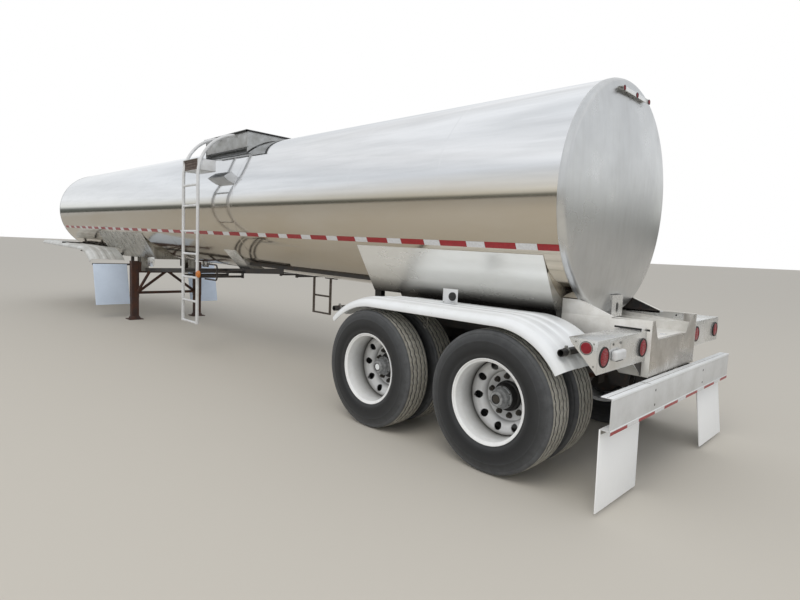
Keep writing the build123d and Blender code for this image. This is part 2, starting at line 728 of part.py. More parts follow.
ladder = ladder_rail(ladder_x - ladder_half_width) + ladder_rail(ladder_x + ladder_half_width)
for z in rung_heights:
    ladder += rod((ladder_x - ladder_half_width, ladder_y, z), (ladder_x + ladder_half_width, ladder_y, z),
                  rung_radius)
rail_face_y = rail_y + rail_width / 2
for x in (ladder_x - ladder_half_width, ladder_x + ladder_half_width):
    for z in (1068, 1133):
        ladder += rod((x, ladder_y, z), (x, rail_face_y + 4, z), rung_radius)
    ladder += block(x - 35, x + 35, rail_face_y + 0.5, rail_face_y + 8, 1045, 1155)
step_box = block(ladder_x - ladder_half_width, ladder_x + ladder_half_width, 870, 1120, 2470, 2620)
step_box -= block(ladder_x - ladder_half_width + 6, ladder_x + ladder_half_width - 6, 876, 1130, 2476, 2614)
ladder += step_box
ladder -= block(platform_rear_x, platform_front_x, -platform_half_width, platform_half_width,
                platform_skirt_z, platform_top_z + 100)
ladder = max(ladder.solids(), key=lambda piece: piece.volume)
save("ladder_left", ladder)
save("ladder_right", across(ladder))

# Landing gear

leg_y = 613
leg_half = 65
leg_bottom_z = 430
leg = block(leg_x - leg_half, leg_x + leg_half, leg_y - leg_half, leg_y + leg_half, leg_bottom_z, 1120)
leg += block(leg_x - 90, leg_x + 90, rail_face_y, leg_y - leg_half + 2, 900, 1100)
save("landing_legs", leg, across(leg))
inner_leg = block(leg_x - 61, leg_x + 61, leg_y - 61, leg_y + 61, 70, leg_bottom_z)
inner_leg += block(leg_x - 125, leg_x + 125, leg_y - 125, leg_y + 125, 0, 14)
inner_leg += block(leg_x - 20, leg_x + 20, leg_y - 70, leg_y + 70, 14, 80)
save("landing_feet", inner_leg, across(inner_leg))
inside_y = leg_y - leg_half
brace_low_z = 510
brace_top_z = 896
brace_radius = 26
braces = block(leg_x - 30, leg_x + 30, -rail_y, rail_y, brace_top_z, 976)
braces += rod((leg_x, -inside_y, brace_low_z), (leg_x, inside_y, brace_low_z), brace_radius)
for side in (1, -1):
    braces += rod((leg_x, side * (inside_y - 10), 530), (leg_x, 0, brace_top_z + 40), brace_radius)
    braces += rod((leg_x - leg_half, side * (leg_y - 40), 540),
                  (rear_axle_x + 8370, side * (rail_y + 20), 940), brace_radius)
braces = braces - leg - across(leg) - sloping_hull - across(sloping_hull)
save("landing_braces", braces)

# Upper coupler

coupler_plate = block(coupler_rear_x, coupler_front_x, -coupler_half_width, coupler_half_width,
                      coupler_plate_z, coupler_plate_z + 12)
save("coupler_plate", coupler_plate)
coupler_frame = None
for y in (-430, 0, 430):
    drop = sqrt(tank_radius ** 2 - max(abs(y) - 6, 0) ** 2) + 2
    web = side_plate([
        (coupler_rear_x, coupler_plate_z + 12), (coupler_front_x, coupler_plate_z + 12),
        (coupler_front_x, tank_z(coupler_front_x) - drop), (coupler_rear_x, tank_z(coupler_rear_x) - drop)],
        y - 6, y + 6)
    coupler_frame = web if coupler_frame is None else coupler_frame + web
for place in (10955, 11500, 12000, 12500, 12890):
    x = rear_axle_x + place
    cross_web = block(x, x + 8, -(coupler_half_width - 10), coupler_half_width - 10,
                      coupler_plate_z + 12, 1375)
    coupler_frame += cross_web - tank_frame(tank_seat(on_axis(x) - 50, 150))
save("coupler_frame", coupler_frame)
king_profile = make_face(Polyline(
    (0, coupler_plate_z), (0, coupler_plate_z - 84), (34, coupler_plate_z - 84),
    (35.7, coupler_plate_z - 78), (35.7, coupler_plate_z - 50), (25.4, coupler_plate_z - 49),
    (25.4, coupler_plate_z - 12), (36.5, coupler_plate_z - 10), (36.5, coupler_plate_z), close=True))
kingpin = Pos(kingpin_x, 0, 0) * revolve(Plane.XZ * king_profile, axis=Axis.Z)
save("kingpin", kingpin)

# Rear end: side plates, centre panel, lamp boxes, bumper

panel_depth = 95
side = side_plate([
    (panel_x, 735), (panel_x, 1125), (rear_axle_x - 515, 1125), (rear_axle_x - 265, 1222),
    (rear_axle_x - 135, 1222), (rear_axle_x - 135, 1110), (rear_axle_x - 480, 1000),
    (rear_axle_x - 480, subframe_bottom_z + 10), (rear_axle_x - 600, 735)],
    panel_half_width, side_plate_y)
save("rear_side_plates", side, across(side))
notch_half = 300
panel = cross_plate([
    (-panel_half_width, 735), (panel_half_width, 735), (panel_half_width, 1125), (410, 1125),
    (360, 1030), (notch_half, 1000), (-notch_half, 1000), (-360, 1030), (-410, 1125),
    (-panel_half_width, 1125)], panel_x, panel_x + 6)
panel += block(panel_x, panel_x + 20, -panel_half_width, panel_half_width, 735, 741)
for y in (-panel_half_width, panel_half_width - 6):
    panel += block(panel_x, panel_x + panel_depth, y, y + 6, 735, 1125)
panel += block(panel_x + 6, rear_axle_x - 470, -(rail_y - rail_width / 2 - 2),
               rail_y - rail_width / 2 - 2, 994, 1000)
save("rear_center_panel", panel)

box_rear_x = rear_axle_x - 770
box_top_x = rear_axle_x - 600
lamp_z = 950
box_outer_y = half_width - 6
lamp_box = side_plate([(box_rear_x, 850), (box_rear_x, 1053), (box_top_x, 1053), (box_top_x, 1030)],
                      side_plate_y, box_outer_y)
save("lamp_boxes", lamp_box, across(lamp_box))
lamps = []
for y in (1130, 540, -600, -1122):
    lamps.append(Pos(box_rear_x, y, lamp_z) * Rot(0, -90, 0) * Cylinder(
        60, 14, align=(Align.CENTER, Align.CENTER, Align.MIN)))

bumper = block(bumper_face_x, bumper_face_x + 71, -half_width, half_width, 538, 738)
bumper -= block(bumper_face_x + 8, bumper_face_x + 80, -half_width - 1, half_width + 1, 546, 730)
save("bumper", bumper)
bracket = side_plate([
    (bumper_face_x + 8, 546), (bumper_face_x + 8, 730), (panel_x + 26, 730),
    (subframe_rear_x, 780), (subframe_rear_x, subframe_bottom_z),
    (subframe_rear_x + 40, subframe_bottom_z), (subframe_rear_x + 40, 700),
    (bumper_face_x + 100, 546)], rail_y - 6, rail_y + 6)
save("bumper_brackets", bracket, across(bracket))

# Small lamps, the head bracket and the outlet

bar_z = 2776
bar_x = tank_rear_x
light_bar = block(bar_x - 90, bar_x - 52, -250, 250, bar_z - 16, bar_z + 16)
for y in (-180, 180):
    light_bar += block(bar_x - 60, bar_x + 50, y - 12, y + 12, bar_z - 6, bar_z + 6)
light_bar -= tank_keepout.intersect(block(tank_rear_x, tank_rear_x + 500, -400, 400, 2600, 2900))
light_bar -= rear_head
save("rear_light_bar", light_bar)

pull = block(rear_axle_x - 356, rear_axle_x - 350, -100, 100, 1080, 1250)
for z in (1135, 1170):  # a slot with round ends
    pull -= rod((rear_axle_x - 400, 0, z), (rear_axle_x - 300, 0, z), 22)
pull -= block(rear_axle_x - 400, rear_axle_x - 300, -22, 22, 1135, 1170)
for y in (-100, 94):
    pull += block(rear_axle_x - 356, rear_axle_x - 200, y, y + 6, 1080, 1250)
pull = pull - rear_head - shell
pull = [piece for piece in pull.solids() if piece.bounding_box().min.X < rear_axle_x - 340]
save("head_bracket", *pull)

for side_sign in (1, -1):
    lamps.append(rod((box_rear_x + 67, side_sign * box_outer_y, 1002),
                       (box_rear_x + 67, side_sign * half_width, 1002), 37))
save("rear_lamps", *lamps)

outlet_x = rear_axle_x - 210
outlet_z = 930
outlet_radius = 45
outlet = rod((outlet_x, 0, outlet_z), (outlet_x, 0, tank_z(outlet_x) - tank_radius + 5), outlet_radius)
outlet += rod((outlet_x + 30, 0, outlet_z), (panel_x + 90, 0, outlet_z), outlet_radius)
outlet += rod((panel_x + 60, 0, outlet_z), (panel_x + 100, 0, outlet_z), outlet_radius + 18)
outlet += rod((outlet_x - 120, 0, outlet_z), (outlet_x - 240, 0, outlet_z), outlet_radius + 25)
outlet -= tank_keepout
save("outlet_pipe", outlet)
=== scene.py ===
from math import atan2, cos, hypot, pi, radians, sin, sqrt, tan

import bmesh
import bpy
from mathutils import Matrix, Quaternion, Vector


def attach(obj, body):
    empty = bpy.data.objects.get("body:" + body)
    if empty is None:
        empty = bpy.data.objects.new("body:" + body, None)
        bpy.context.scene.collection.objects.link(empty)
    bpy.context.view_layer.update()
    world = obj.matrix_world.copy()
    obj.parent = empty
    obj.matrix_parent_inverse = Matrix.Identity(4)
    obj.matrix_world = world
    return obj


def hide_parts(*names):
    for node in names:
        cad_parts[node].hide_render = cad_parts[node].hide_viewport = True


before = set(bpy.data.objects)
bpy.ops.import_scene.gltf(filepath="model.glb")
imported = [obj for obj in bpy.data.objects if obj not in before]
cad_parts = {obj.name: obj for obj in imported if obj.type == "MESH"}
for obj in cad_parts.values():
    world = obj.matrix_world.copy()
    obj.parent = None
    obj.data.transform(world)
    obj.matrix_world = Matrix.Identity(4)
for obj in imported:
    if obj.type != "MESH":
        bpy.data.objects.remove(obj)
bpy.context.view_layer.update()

# A polished stainless tank semi-trailer, standing uncoupled on its tandem axles and landing gear.
# Metres. +X is forward, +Y is the trailer's left, +Z is up, and the ground is z = 0.

trailer = "trailer"
rearAxleX = -6.125
axleSpacing = 1.2446
frontAxleX = rearAxleX + axleSpacing

tank = {
    "radius": 0.900,
    "rearX": rearAxleX - 0.291,
    "frontX": rearAxleX + 12.924,
    "rearZ": 1.9915,
    "slope": radians(0.8033),  # nose up
    "headCrown": 0.120,
    "headKnuckle": 0.034,
    "headFlange": 0.022,
    "firstSeam": 1.12,  # along the barrel from the rear rim
    "sheetWidth": 1.145,
    "sheets": 12,
    "steps": 288,
}


# Small helpers

def toLinear(code):
    # sRGB hex to the linear colour that a shader takes
    parts = [int(code[i:i + 2], 16) / 255 for i in (0, 2, 4)]
    return [p / 12.92 if p <= 0.04045 else ((p + 0.055) / 1.055) ** 2.4 for p in parts] + [1.0]


def addNode(tree, kind, inputs=None, stops=None, **settings):
    # one shader node: its settings, its input values or links, and the stops of its ramp
    node = tree.nodes.new("ShaderNode" + kind)
    for key, value in settings.items():
        setattr(node, key, value)
    for key, value in (inputs or {}).items():
        if isinstance(value, bpy.types.NodeSocket):
            tree.links.new(value, node.inputs[key])
        else:
            node.inputs[key].default_value = value
    if stops:
        ramp = node.color_ramp.elements
        while len(ramp) < len(stops):
            ramp.new(0.5)
        for element, (position, color) in zip(ramp, stops):
            element.position = position
            element.color = toLinear(color)
    return node


def startMaterial(name, **shaderValues):
    # a material with one Principled shader, whose plain values are set on its own sockets
    made = bpy.data.materials.new(name)
    made.use_nodes = True
    tree = made.node_tree
    tree.nodes.clear()
    shader = addNode(tree, "BsdfPrincipled", {k.replace("_", " "): v for k, v in shaderValues.items()})
    addNode(tree, "OutputMaterial", {"Surface": shader.outputs[0]})
    return made, tree, shader


def noiseBySize(tree, millimetres, low=0.35, high=0.65, stretch=(1, 1, 1), detail=4.0):
    # 0 to 1 patches of about the given size, in Object coordinates; a large stretch makes them short
    place = addNode(tree, "TexCoord").outputs["Object"]
    spot = addNode(tree, "Mapping", {"Vector": place, "Scale": stretch})
    noise = addNode(tree, "TexNoise", {"Vector": spot.outputs[0], "Scale": 1000 / millimetres,
                                       "Detail": detail, "Roughness": 0.6})
    return scaled(tree, noise.outputs[0], 0.0, 1.0, low, high)


def mixColors(tree, factor, first, second):
    # first and second are hex codes or colour outputs
    values = {0: factor}
    for slot, color in ((6, first), (7, second)):
        values[slot] = toLinear(color) if isinstance(color, str) else color
    return addNode(tree, "Mix", values, data_type="RGBA").outputs[2]


def scaled(tree, factor, low, high, fromLow=0.0, fromHigh=1.0):
    return addNode(tree, "MapRange", {"Value": factor, "From Min": fromLow, "From Max": fromHigh,
                                      "To Min": low, "To Max": high}).outputs[0]


def timesOf(tree, first, second):
    return addNode(tree, "Math", {0: first, 1: second}, operation="MULTIPLY", use_clamp=True).outputs[0]


def placeAlong(tree, axis):
    # Object coordinate along X, Y or Z, in metres
    place = addNode(tree, "TexCoord").outputs["Object"]
    return addNode(tree, "SeparateXYZ", {0: place}).outputs["XYZ".index(axis)]


def heightShade(tree, lowZ, highZ):
    # 0 at lowZ and 1 at highZ, in metres above the ground
    return scaled(tree, placeAlong(tree, "Z"), 0.0, 1.0, lowZ, highZ)


def link(tree, source, shader, socket):
    tree.links.new(source, shader.inputs[socket])


def bump(tree, shader, height, millimetres, strength=1.0):
    made = addNode(tree, "Bump", {"Height": height, "Distance": millimetres / 1000, "Strength": strength})
    link(tree, made.outputs[0], shader, "Normal")


# Materials

def makePolishedStainless():
    # mirror polished stainless sheet: it shows the sky above and the ground below as long bands,
    # a little wavy, with faint water marks; its lower half is tinted tan, partly a thin film of road dust
    # and partly a painted reflection of the ground
    made, tree, shader = startMaterial("polishedStainless", Metallic=1.0)
    # painted reflection and road film: a tan tint over the lower half of the barrel
    filmAndReflection = timesOf(tree, scaled(tree, heightShade(tree, 1.98, 2.16), 1.0, 0.0),
                   scaled(tree, noiseBySize(tree, 520, 0.25, 0.75, (0.4, 1, 1.4)), 0.75, 1.0))
    marks = noiseBySize(tree, 230, 0.45, 0.75, (0.25, 1.6, 3), 5.0)
    clean = mixColors(tree, scaled(tree, marks, 0.0, 0.6), "E9EAEC", "D8DADC")
    link(tree, mixColors(tree, scaled(tree, filmAndReflection, 0.0, 1.0), clean, "CBC1B0"), shader, "Base Color")
    smear = noiseBySize(tree, 900, 0.3, 0.7, (0.4, 1, 1))
    rough = addNode(tree, "Math", {0: scaled(tree, smear, 0.055, 0.095), 1: scaled(tree, filmAndReflection, 0.0, 0.04)},
                    operation="ADD")
    link(tree, rough.outputs[0], shader, "Roughness")
    bump(tree, shader, noiseBySize(tree, 420, 0.2, 0.8, (0.6, 1, 1), 1.0), 0.8, 0.3)
    return made


def makeTireRubber():
    # moulded tyre rubber: near black at the bead, greyer with scuffs towards the shoulder
    made, tree, shader = startMaterial("tireRubber", Specular_IOR_Level=0.45)
    wear = noiseBySize(tree, 50, 0.25, 0.75)
    scuff = timesOf(tree, addNode(tree, "Attribute", attribute_name="dust").outputs["Fac"],
                    scaled(tree, wear, 0.6, 1.2))
    link(tree, mixColors(tree, scuff, "1B1C1E", "595B5D"), shader, "Base Color")
    link(tree, scaled(tree, wear, 0.48, 0.66), shader, "Roughness")
    bump(tree, shader, noiseBySize(tree, 4, 0.3, 0.7), 0.15, 0.4)
    return made


def makeFlapRubber():
    # white moulded flap: waxy, with mud thrown up on the lower part
    made, tree, shader = startMaterial("flapRubber")
    mud = timesOf(tree, scaled(tree, heightShade(tree, 0.05, 0.75), 1.0, 0.15),
                  noiseBySize(tree, 110, 0.32, 0.7, (1, 1, 0.5), 5.0))
    link(tree, mixColors(tree, timesOf(tree, mud, 0.07), "FCFEFF", "C4C1B9"), shader, "Base Color")
    link(tree, scaled(tree, mud, 0.42, 0.75), shader, "Roughness")
    bump(tree, shader, noiseBySize(tree, 12, 0.3, 0.7), 0.3, 0.3)
    return made


def makeWheelEnamel():
    # white enamel on disc wheels: bright at the lip, grey with painted shade and brake dust where disc and
    # rim meet
    made, tree, shader = startMaterial("enamelShadeAndBrakeDust", Coat_Weight=0.15)
    # the dust attribute here holds painted shade in the wheel's recesses along with brake dust
    dust = addNode(tree, "Attribute", attribute_name="dust").outputs["Fac"]
    patch = noiseBySize(tree, 60, 0.35, 0.68)
    clean = mixColors(tree, timesOf(tree, patch, 0.35), "F6F8F9", "DDDCD8")
    link(tree, mixColors(tree, dust, clean, "55534F"), shader, "Base Color")
    link(tree, scaled(tree, patch, 0.36, 0.55), shader, "Roughness")
    bump(tree, shader, patch, 0.1, 0.3)
    return made


def makeSkirtStainless():
    # thin stainless skirt under the tank: bright above, darker towards its lower edge, where painted shade
    # turns it black, and streaked with road film where it is nearer the tractor
    made, tree, shader = startMaterial("skirtStainless", Metallic=0.55)
    cloud = noiseBySize(tree, 330, 0.25, 0.75, (0.4, 1, 1))
    # darker towards the bottom of the skirt
    low = scaled(tree, heightShade(tree, 1.12, 1.40), 1.0, 0.0)
    dust = timesOf(tree, low, scaled(tree, cloud, 0.8, 1.0))
    clean = mixColors(tree, dust, mixColors(tree, cloud, "FBFCFA", "F2F2EE"), "A9A7A0")
    streaks = noiseBySize(tree, 90, 0.3, 0.7, (1.0, 1.0, 0.12), 5.0)
    filmed = mixColors(tree, streaks, "CFCDC6", "8B887F")
    frontSkirt = scaled(tree, placeAlong(tree, "X"), 0.0, 1.0, 0.0, 0.2)
    sheet = mixColors(tree, frontSkirt, clean, filmed)
    # painted shade: a black band along the lower edge, which darkens the front skirt by a quarter at most
    paintedShadeBand = heightShade(tree, 1.125, 1.265)
    bandStrength = addNode(tree, "Math", {0: paintedShadeBand, 1: scaled(tree, frontSkirt, 0.0, 0.75)}, operation="MAXIMUM")
    link(tree, mixColors(tree, bandStrength.outputs[0], "2B2927", sheet), shader, "Base Color")
    link(tree, scaled(tree, cloud, 0.16, 0.34), shader, "Roughness")
    bump(tree, shader, noiseBySize(tree, 240, 0.2, 0.8, detail=1.0), 1.0, 0.3)
    return made


def makeLayered(name, patch, first, second, rough, relief, depth, share=None, over=None, **shaderValues):
    # one patchy layer between two colours, and over it the spots, drips or grain of a third colour;
    # relief is the noise of the bump, or "patch" or "over" for one of those two
    made, tree, shader = startMaterial(name, **shaderValues)
    layers = {"patch": noiseBySize(tree, *patch)}
    amount = timesOf(tree, layers["patch"], share) if share else layers["patch"]
    color = mixColors(tree, amount, first, second)
    if over:
        noise, overShare, third = over
        layers["over"] = noiseBySize(tree, *noise)
        color = mixColors(tree, timesOf(tree, layers["over"], overShare), color, third)
    link(tree, color, shader, "Base Color")
    link(tree, scaled(tree, layers["patch"], *rough), shader, "Roughness")
    bump(tree, shader, layers[relief] if relief in layers else noiseBySize(tree, *relief), *depth)
    return made


def makePlain(name, first, second, millimetres, rough, metal=0.0, coat=0.0, bumpMm=0.05):
    return makeLayered(name, (millimetres, 0.35, 0.68), first, second, rough, "patch", (bumpMm, 0.4),
                       Metallic=metal, Coat_Weight=coat)


polishedStainless = makePolishedStainless()
tireRubber = makeTireRubber()
flapRubber = makeFlapRubber()
wheelEnamel = makeWheelEnamel()
skirtStainless = makeSkirtStainless()
evenly = (1, 1, 1)
# spun stainless head, polished less than the barrel: pale and cloudy, with water stains
headStainless = makeLayered("headStainless", (520, 0.3, 0.7), "D9DADA", "C9CACB", (0.24, 0.34),
                            (260, 0.2, 0.8, evenly, 2.0), (1.0, 0.3), Metallic=1.0,
                            over=((60, 0.45, 0.75, (1, 1.5, 0.22)), 0.15, "A8A59D"))
# sheet stainless as it comes from the mill, wiped and scratched: satin with cloudy dirt
satinStainless = makeLayered("satinStainless", (180, 0.3, 0.7), "ECEDEE", "DAD9D5", (0.20, 0.34),
                             "over", (0.02, 0.3), Metallic=0.8,
                             over=((6, 0.3, 0.7, (0.1, 1, 1)), 0.05, "B4B0A8"))
# white enamel on steel: even gloss, dust and rain marks, a few chips down to grey primer
whiteEnamel = makeLayered("whiteEnamel", (240, 0.35, 0.75), "F2F6F9", "DCDEDC", (0.30, 0.48),
                          (3, 0.3, 0.7), (0.05, 0.25), share=0.4, Coat_Weight=0.25, Coat_Roughness=0.12,
                          over=((22, 0.70, 0.74, evenly, 6.0), 0.6, "9A978F"))
# black chassis paint under road dust: dull, brown in patches, with spots of rust
framePaint = makeLayered("framePaint", (150, 0.35, 0.7), "232224", "4A443D", (0.45, 0.8), (9, 0.3, 0.7),
                         (0.3, 0.4), share=0.8, over=((45, 0.58, 0.72, evenly, 6.0), 0.7, "56392A"))
# old brown-black paint over rusted steel, as on the landing gear: matt, pitted, patchy
rustedSteel = makeLayered("rustedSteel", (90, 0.35, 0.65, (1, 1, 0.5)), "3A2A24", "5B3A29", (0.62, 0.88),
                          "over", (0.6, 0.5), over=((8, 0.3, 0.7), 0.5, "2A2120"))
# galvanised tube brushed over with silver-grey paint: light, a little blotchy
ladderPaint = makeLayered("ladderPaint", (160, 0.35, 0.7), "E2E4E6", "CFD0D0", (0.34, 0.48), (5, 0.3, 0.7),
                          (0.15, 0.4), Metallic=0.1)
# tread rubber full of dry gravel dust: tan on the ribs, dark in the grooves
treadRubber = makeLayered("treadRubber", (35, 0.3, 0.65), "BFBDB4", "98958C", (0.75, 0.92), (6, 0.3, 0.7),
                          (0.5, 0.5), Specular_IOR_Level=0.3)
# stainless sheet that lies under cream dust and shows no reflections
dustySheet = makePlain("dustyStainlessSheet", "F3F2EE", "E3E1DB", 90, (0.45, 0.6), metal=0.25)
# stainless sheet under a grey film of spray from the road
filmedSheet = makePlain("roadFilmStainless", "C9C5BF", "B3AEA7", 160, (0.22, 0.4), metal=0.8)
# sheet of the platform: aluminium gone grey in the weather
weatheredSheet = makePlain("weatheredAluminum", "BCBEBF", "A3A4A2", 120, (0.35, 0.55), metal=0.4)
# the front fenders' enamel: the same white under more dust
dustyEnamel = makePlain("dustyWhiteEnamel", "DADCDA", "BDBDB8", 260, (0.35, 0.55), coat=0.1)
# front flaps: smooth pale sheet, with the blue of the sky painted into its colour as a painted reflection
skyTintedFlap = makePlain("flapPaintedSkyReflection", "DDECFF", "D2E1F4", 400, (0.4, 0.6))
# the right ladder's tube: galvanised, brown with grime
grimyLadder = makePlain("grimyGalvanized", "7A7168", "5A5149", 60, (0.5, 0.75), metal=0.2, bumpMm=0.1)
# brown anti-slip boards of the step boxes
stepBoard = makePlain("brownStepBoard", "6A5C54", "4B3F39", 30, (0.6, 0.85), bumpMm=0.4)
# painted shade: a greyer copy of the white enamel for the bumper's face; its top and rolled corners take the
# white enamel
bumperShadedEnamel = makePlain("whiteEnamelPaintedShade", "D9DBDC", "C9CAC9", 220, (0.32, 0.5), coat=0.2)
# galvanised steel gone dull
dullZinc = makePlain("dullGalvanized", "A3A19B", "84817A", 40, (0.5, 0.7), metal=0.4, bumpMm=0.1)
# retroreflective tape: flat colour with a fine cell pattern under a clear film
redTape = makePlain("redReflectiveTape", "A8141F", "8E1019", 14, (0.30, 0.42), coat=0.2)
whiteTape = makePlain("whiteReflectiveTape", "E3E4E6", "D2D3D4", 14, (0.30, 0.42), coat=0.2)
# moulded acrylic lens: deep red, glossy, a little worn
redLens = makePlain("redAcrylicLens", "9C0822", "720518", 9, (0.22, 0.34), coat=0.12, bumpMm=0.4)
amberLens = makePlain("amberAcrylicLens", "D9822B", "B4621A", 9, (0.16, 0.28), coat=0.4, bumpMm=0.4)
# black EPDM grommets and seals
blackRubber = makePlain("blackRubberSeal", "1C1C1D", "2B2A29", 20, (0.5, 0.7))
# zinc plated fasteners, dulled by weather
zincPlate = makePlain("zincPlatedSteel", "A9A9A6", "7E7C77", 12, (0.35, 0.55), metal=0.9)
# cast hub and drum, oily black over rust
hubPaint = makePlain("oiledCastIron", "0E0F12", "211E1C", 30, (0.42, 0.68), bumpMm=0.3)
# cast aluminium oil cap, dulled by grease
capPaint = makePlain("greasyAluminumCap", "A2A4A6", "7C7D7D", 25, (0.35, 0.6), metal=0.3, bumpMm=0.2)
# dark wheel nuts, brown with old grease
nutSteel = makePlain("greasyWheelNuts", "34322F", "4A443C", 12, (0.4, 0.6), metal=0.3)
print("materials made")


# Mesh helpers

def vertsOf(geometry):
    return [g for g in geometry if isinstance(g, bmesh.types.BMVert)]


def edgesOf(geometry):
    return [g for g in geometry if isinstance(g, bmesh.types.BMEdge)]


def facesOf(geometry):
    return [g for g in geometry if isinstance(g, bmesh.types.BMFace)]


def edgesAround(verts):
    return list({e for v in verts for e in v.link_edges})


def paintNew(bm, index):
    # gives its material slot to each face made since the last call
    done = bm.faces.layers.int.get("painted") or bm.faces.layers.int.new("painted")
    for face in bm.faces:
        if not face[done]:
            face[done] = 1
            face.material_index = index


def bevelEdges(bm, edges, width, segments=2):
    bmesh.ops.bevel(bm, geom=edges, offset=width, offset_type="OFFSET", affect="EDGES",
                    segments=segments, profile=0.5, material=-1, clamp_overlap=True)


def addBox(bm, low, high, edge=0.0, index=0, turn=None, segments=2):
    # a box between two corners, its edges rounded by edge; turn is a matrix about its middle
    low = Vector(low)
    high = Vector(high)
    size = high - low
    verts = bmesh.ops.create_cube(bm, size=1.0)["verts"]
    bmesh.ops.scale(bm, vec=size, verts=verts)
    place = Matrix.Translation((low + high) / 2)
    bmesh.ops.transform(bm, matrix=place @ (turn if turn else Matrix()), verts=verts)
    if edge:
        bevelEdges(bm, edgesAround(verts), edge, segments)
    paintNew(bm, index)


def addRod(bm, first, last, radius, steps=20, index=0, edge=0.0, lastRadius=None):
    # a round bar between two points
    first = Vector(first)
    last = Vector(last)
    along = last - first
    place = Matrix.Translation((first + last) / 2) @ along.to_track_quat("Z", "Y").to_matrix().to_4x4()
    made = bmesh.ops.create_cone(bm, cap_ends=True, cap_tris=False, segments=steps, radius1=radius,
                                 radius2=radius if lastRadius is None else lastRadius,
                                 depth=along.length, matrix=place)
    if edge:
        rims = [e for e in edgesAround(made["verts"]) if any(len(f.verts) == steps for f in e.link_faces)]
        bevelEdges(bm, rims, edge)
    paintNew(bm, index)


def addWire(bm, spots, closed=False):
    # a run of edges through (place, rounding) spots; a rounding of more than 0 rounds that corner
    verts = [bm.verts.new(place) for place, _ in spots]
    edges = [bm.edges.new(pair) for pair in zip(verts, verts[1:])]
    if closed:
        edges.append(bm.edges.new((verts[-1], verts[0])))
    wire = set(verts)
    for vert, (_, rounding) in zip(verts, spots):
        if rounding:
            wire.discard(vert)
            made = bmesh.ops.bevel(bm, geom=[vert], offset=rounding, affect="VERTICES", segments=4,
                                   profile=0.5, material=-1, offset_type="OFFSET")
            wire.update(made["verts"])
    wire = [v for v in wire if v.is_valid]
    return wire + edgesAround(wire)


def addLathe(bm, profile, origin, axis, steps=64, index=0, closed=False):
    # spins a run of (along, radius) or (along, radius, rounding) points about an axis
    origin = Vector(origin)
    axis = Vector(axis).normalized()
    side = axis.orthogonal().normalized()
    spots = [(origin + axis * point[0] + side * point[1], point[2] if len(point) > 2 else 0.0)
             for point in profile]
    bmesh.ops.spin(bm, geom=addWire(bm, spots, closed), cent=origin, axis=axis, angle=2 * pi, steps=steps,
                   use_merge=True, use_duplicate=False)
    bmesh.ops.remove_doubles(bm, verts=bm.verts, dist=0.00002)
    paintNew(bm, index)


def addPlate(bm, outline, thick, index=0, edge=0.0):
    # a plate from the points round its face, pushed out along the vector thick
    face = bm.faces.new([bm.verts.new(p) for p in outline])
    made = bmesh.ops.extrude_face_region(bm, geom=[face], use_keep_orig=True)
    moved = vertsOf(made["geom"])
    bmesh.ops.translate(bm, vec=thick, verts=moved)
    if edge:
        bevelEdges(bm, edgesAround(moved + face.verts[:]), edge)
    paintNew(bm, index)


def addTube(bm, first, heading, radius, moves, steps=16, index=0):
    # a bent round tube: moves are straight vectors, or (centre, axis, angle, steps) for a bend
    place = Matrix.Translation(first) @ Vector(heading).to_track_quat("Z", "Y").to_matrix().to_4x4()
    ring = bmesh.ops.create_circle(bm, cap_ends=True, cap_tris=False, segments=steps, radius=radius,
                                   matrix=place)["verts"]
    edges = edgesAround(ring)
    for move in moves:
        if isinstance(move, Vector):
            made = bmesh.ops.extrude_edge_only(bm, edges=edges)["geom"]
            bmesh.ops.translate(bm, vec=move, verts=vertsOf(made))
        else:
            made = bmesh.ops.spin(bm, geom=edges, cent=move[0], axis=move[1], angle=move[2],
                                  steps=move[3], use_merge=False)["geom_last"]
        edges = edgesOf(made)
    bmesh.ops.edgeloop_fill(bm, edges=edges)
    paintNew(bm, index)


def between(value, stops):
    # straight lines through (place, height) stops
    for (first, low), (last, high) in zip(stops, stops[1:]):
        if value <= last:
            return low + (high - low) * max(0.0, value - first) / (last - first)
    return stops[-1][1]


def layDustAndShade(bm, shade):
    # keeps a 0 to 1 amount of dust, on the wheels also of painted shade, on each vertex, which materials read
    layer = bm.verts.layers.float.new("dust")
    for vert in bm.verts:
        vert[layer] = shade(vert.co)


def mirrored(bm):
    # adds the same pieces on the other side of the centre line
    copy = bmesh.ops.duplicate(bm, geom=bm.verts[:] + bm.edges[:] + bm.faces[:])["geom"]
    bmesh.ops.scale(bm, vec=(1, -1, 1), verts=vertsOf(copy))
    bmesh.ops.reverse_faces(bm, faces=facesOf(copy))


def meshOf(bm, name):
    mesh = bpy.data.meshes.new(name)
    bm.to_mesh(mesh)
    bm.free()
    return mesh


def addObject(name, data):
    made = bpy.data.objects.new(name, data)
    bpy.context.scene.collection.objects.link(made)
    return made


def keepPiece(bm, name, materials, instead=(), body=trailer, smooth=35):
    # closes a mesh into a finished piece that rides on a body
    painted = bm.faces.layers.int.get("painted")
    if painted:
        bm.faces.layers.int.remove(painted)
    bmesh.ops.recalc_face_normals(bm, faces=bm.faces)
    limit = radians(smooth)
    for face in bm.faces:
        face.smooth = True
    for edge in bm.edges:
        edge.smooth = edge.is_manifold and edge.calc_face_angle(pi) < limit
    piece = addObject(name, meshOf(bm, name))
    for material in materials:
        piece.data.materials.append(material)
    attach(piece, body)
    if instead:
        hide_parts(*instead)


# Tank barrel and heads

tankMatrix = (Matrix.Translation((tank["rearX"], 0, tank["rearZ"]))
              @ Matrix.Rotation(-tank["slope"], 4, "Y"))
tankLength = (tank["frontX"] - tank["rearX"]) / cos(tank["slope"])


def tankZ(x):
    return tank["rearZ"] + (x - tank["rearX"]) * tan(tank["slope"])


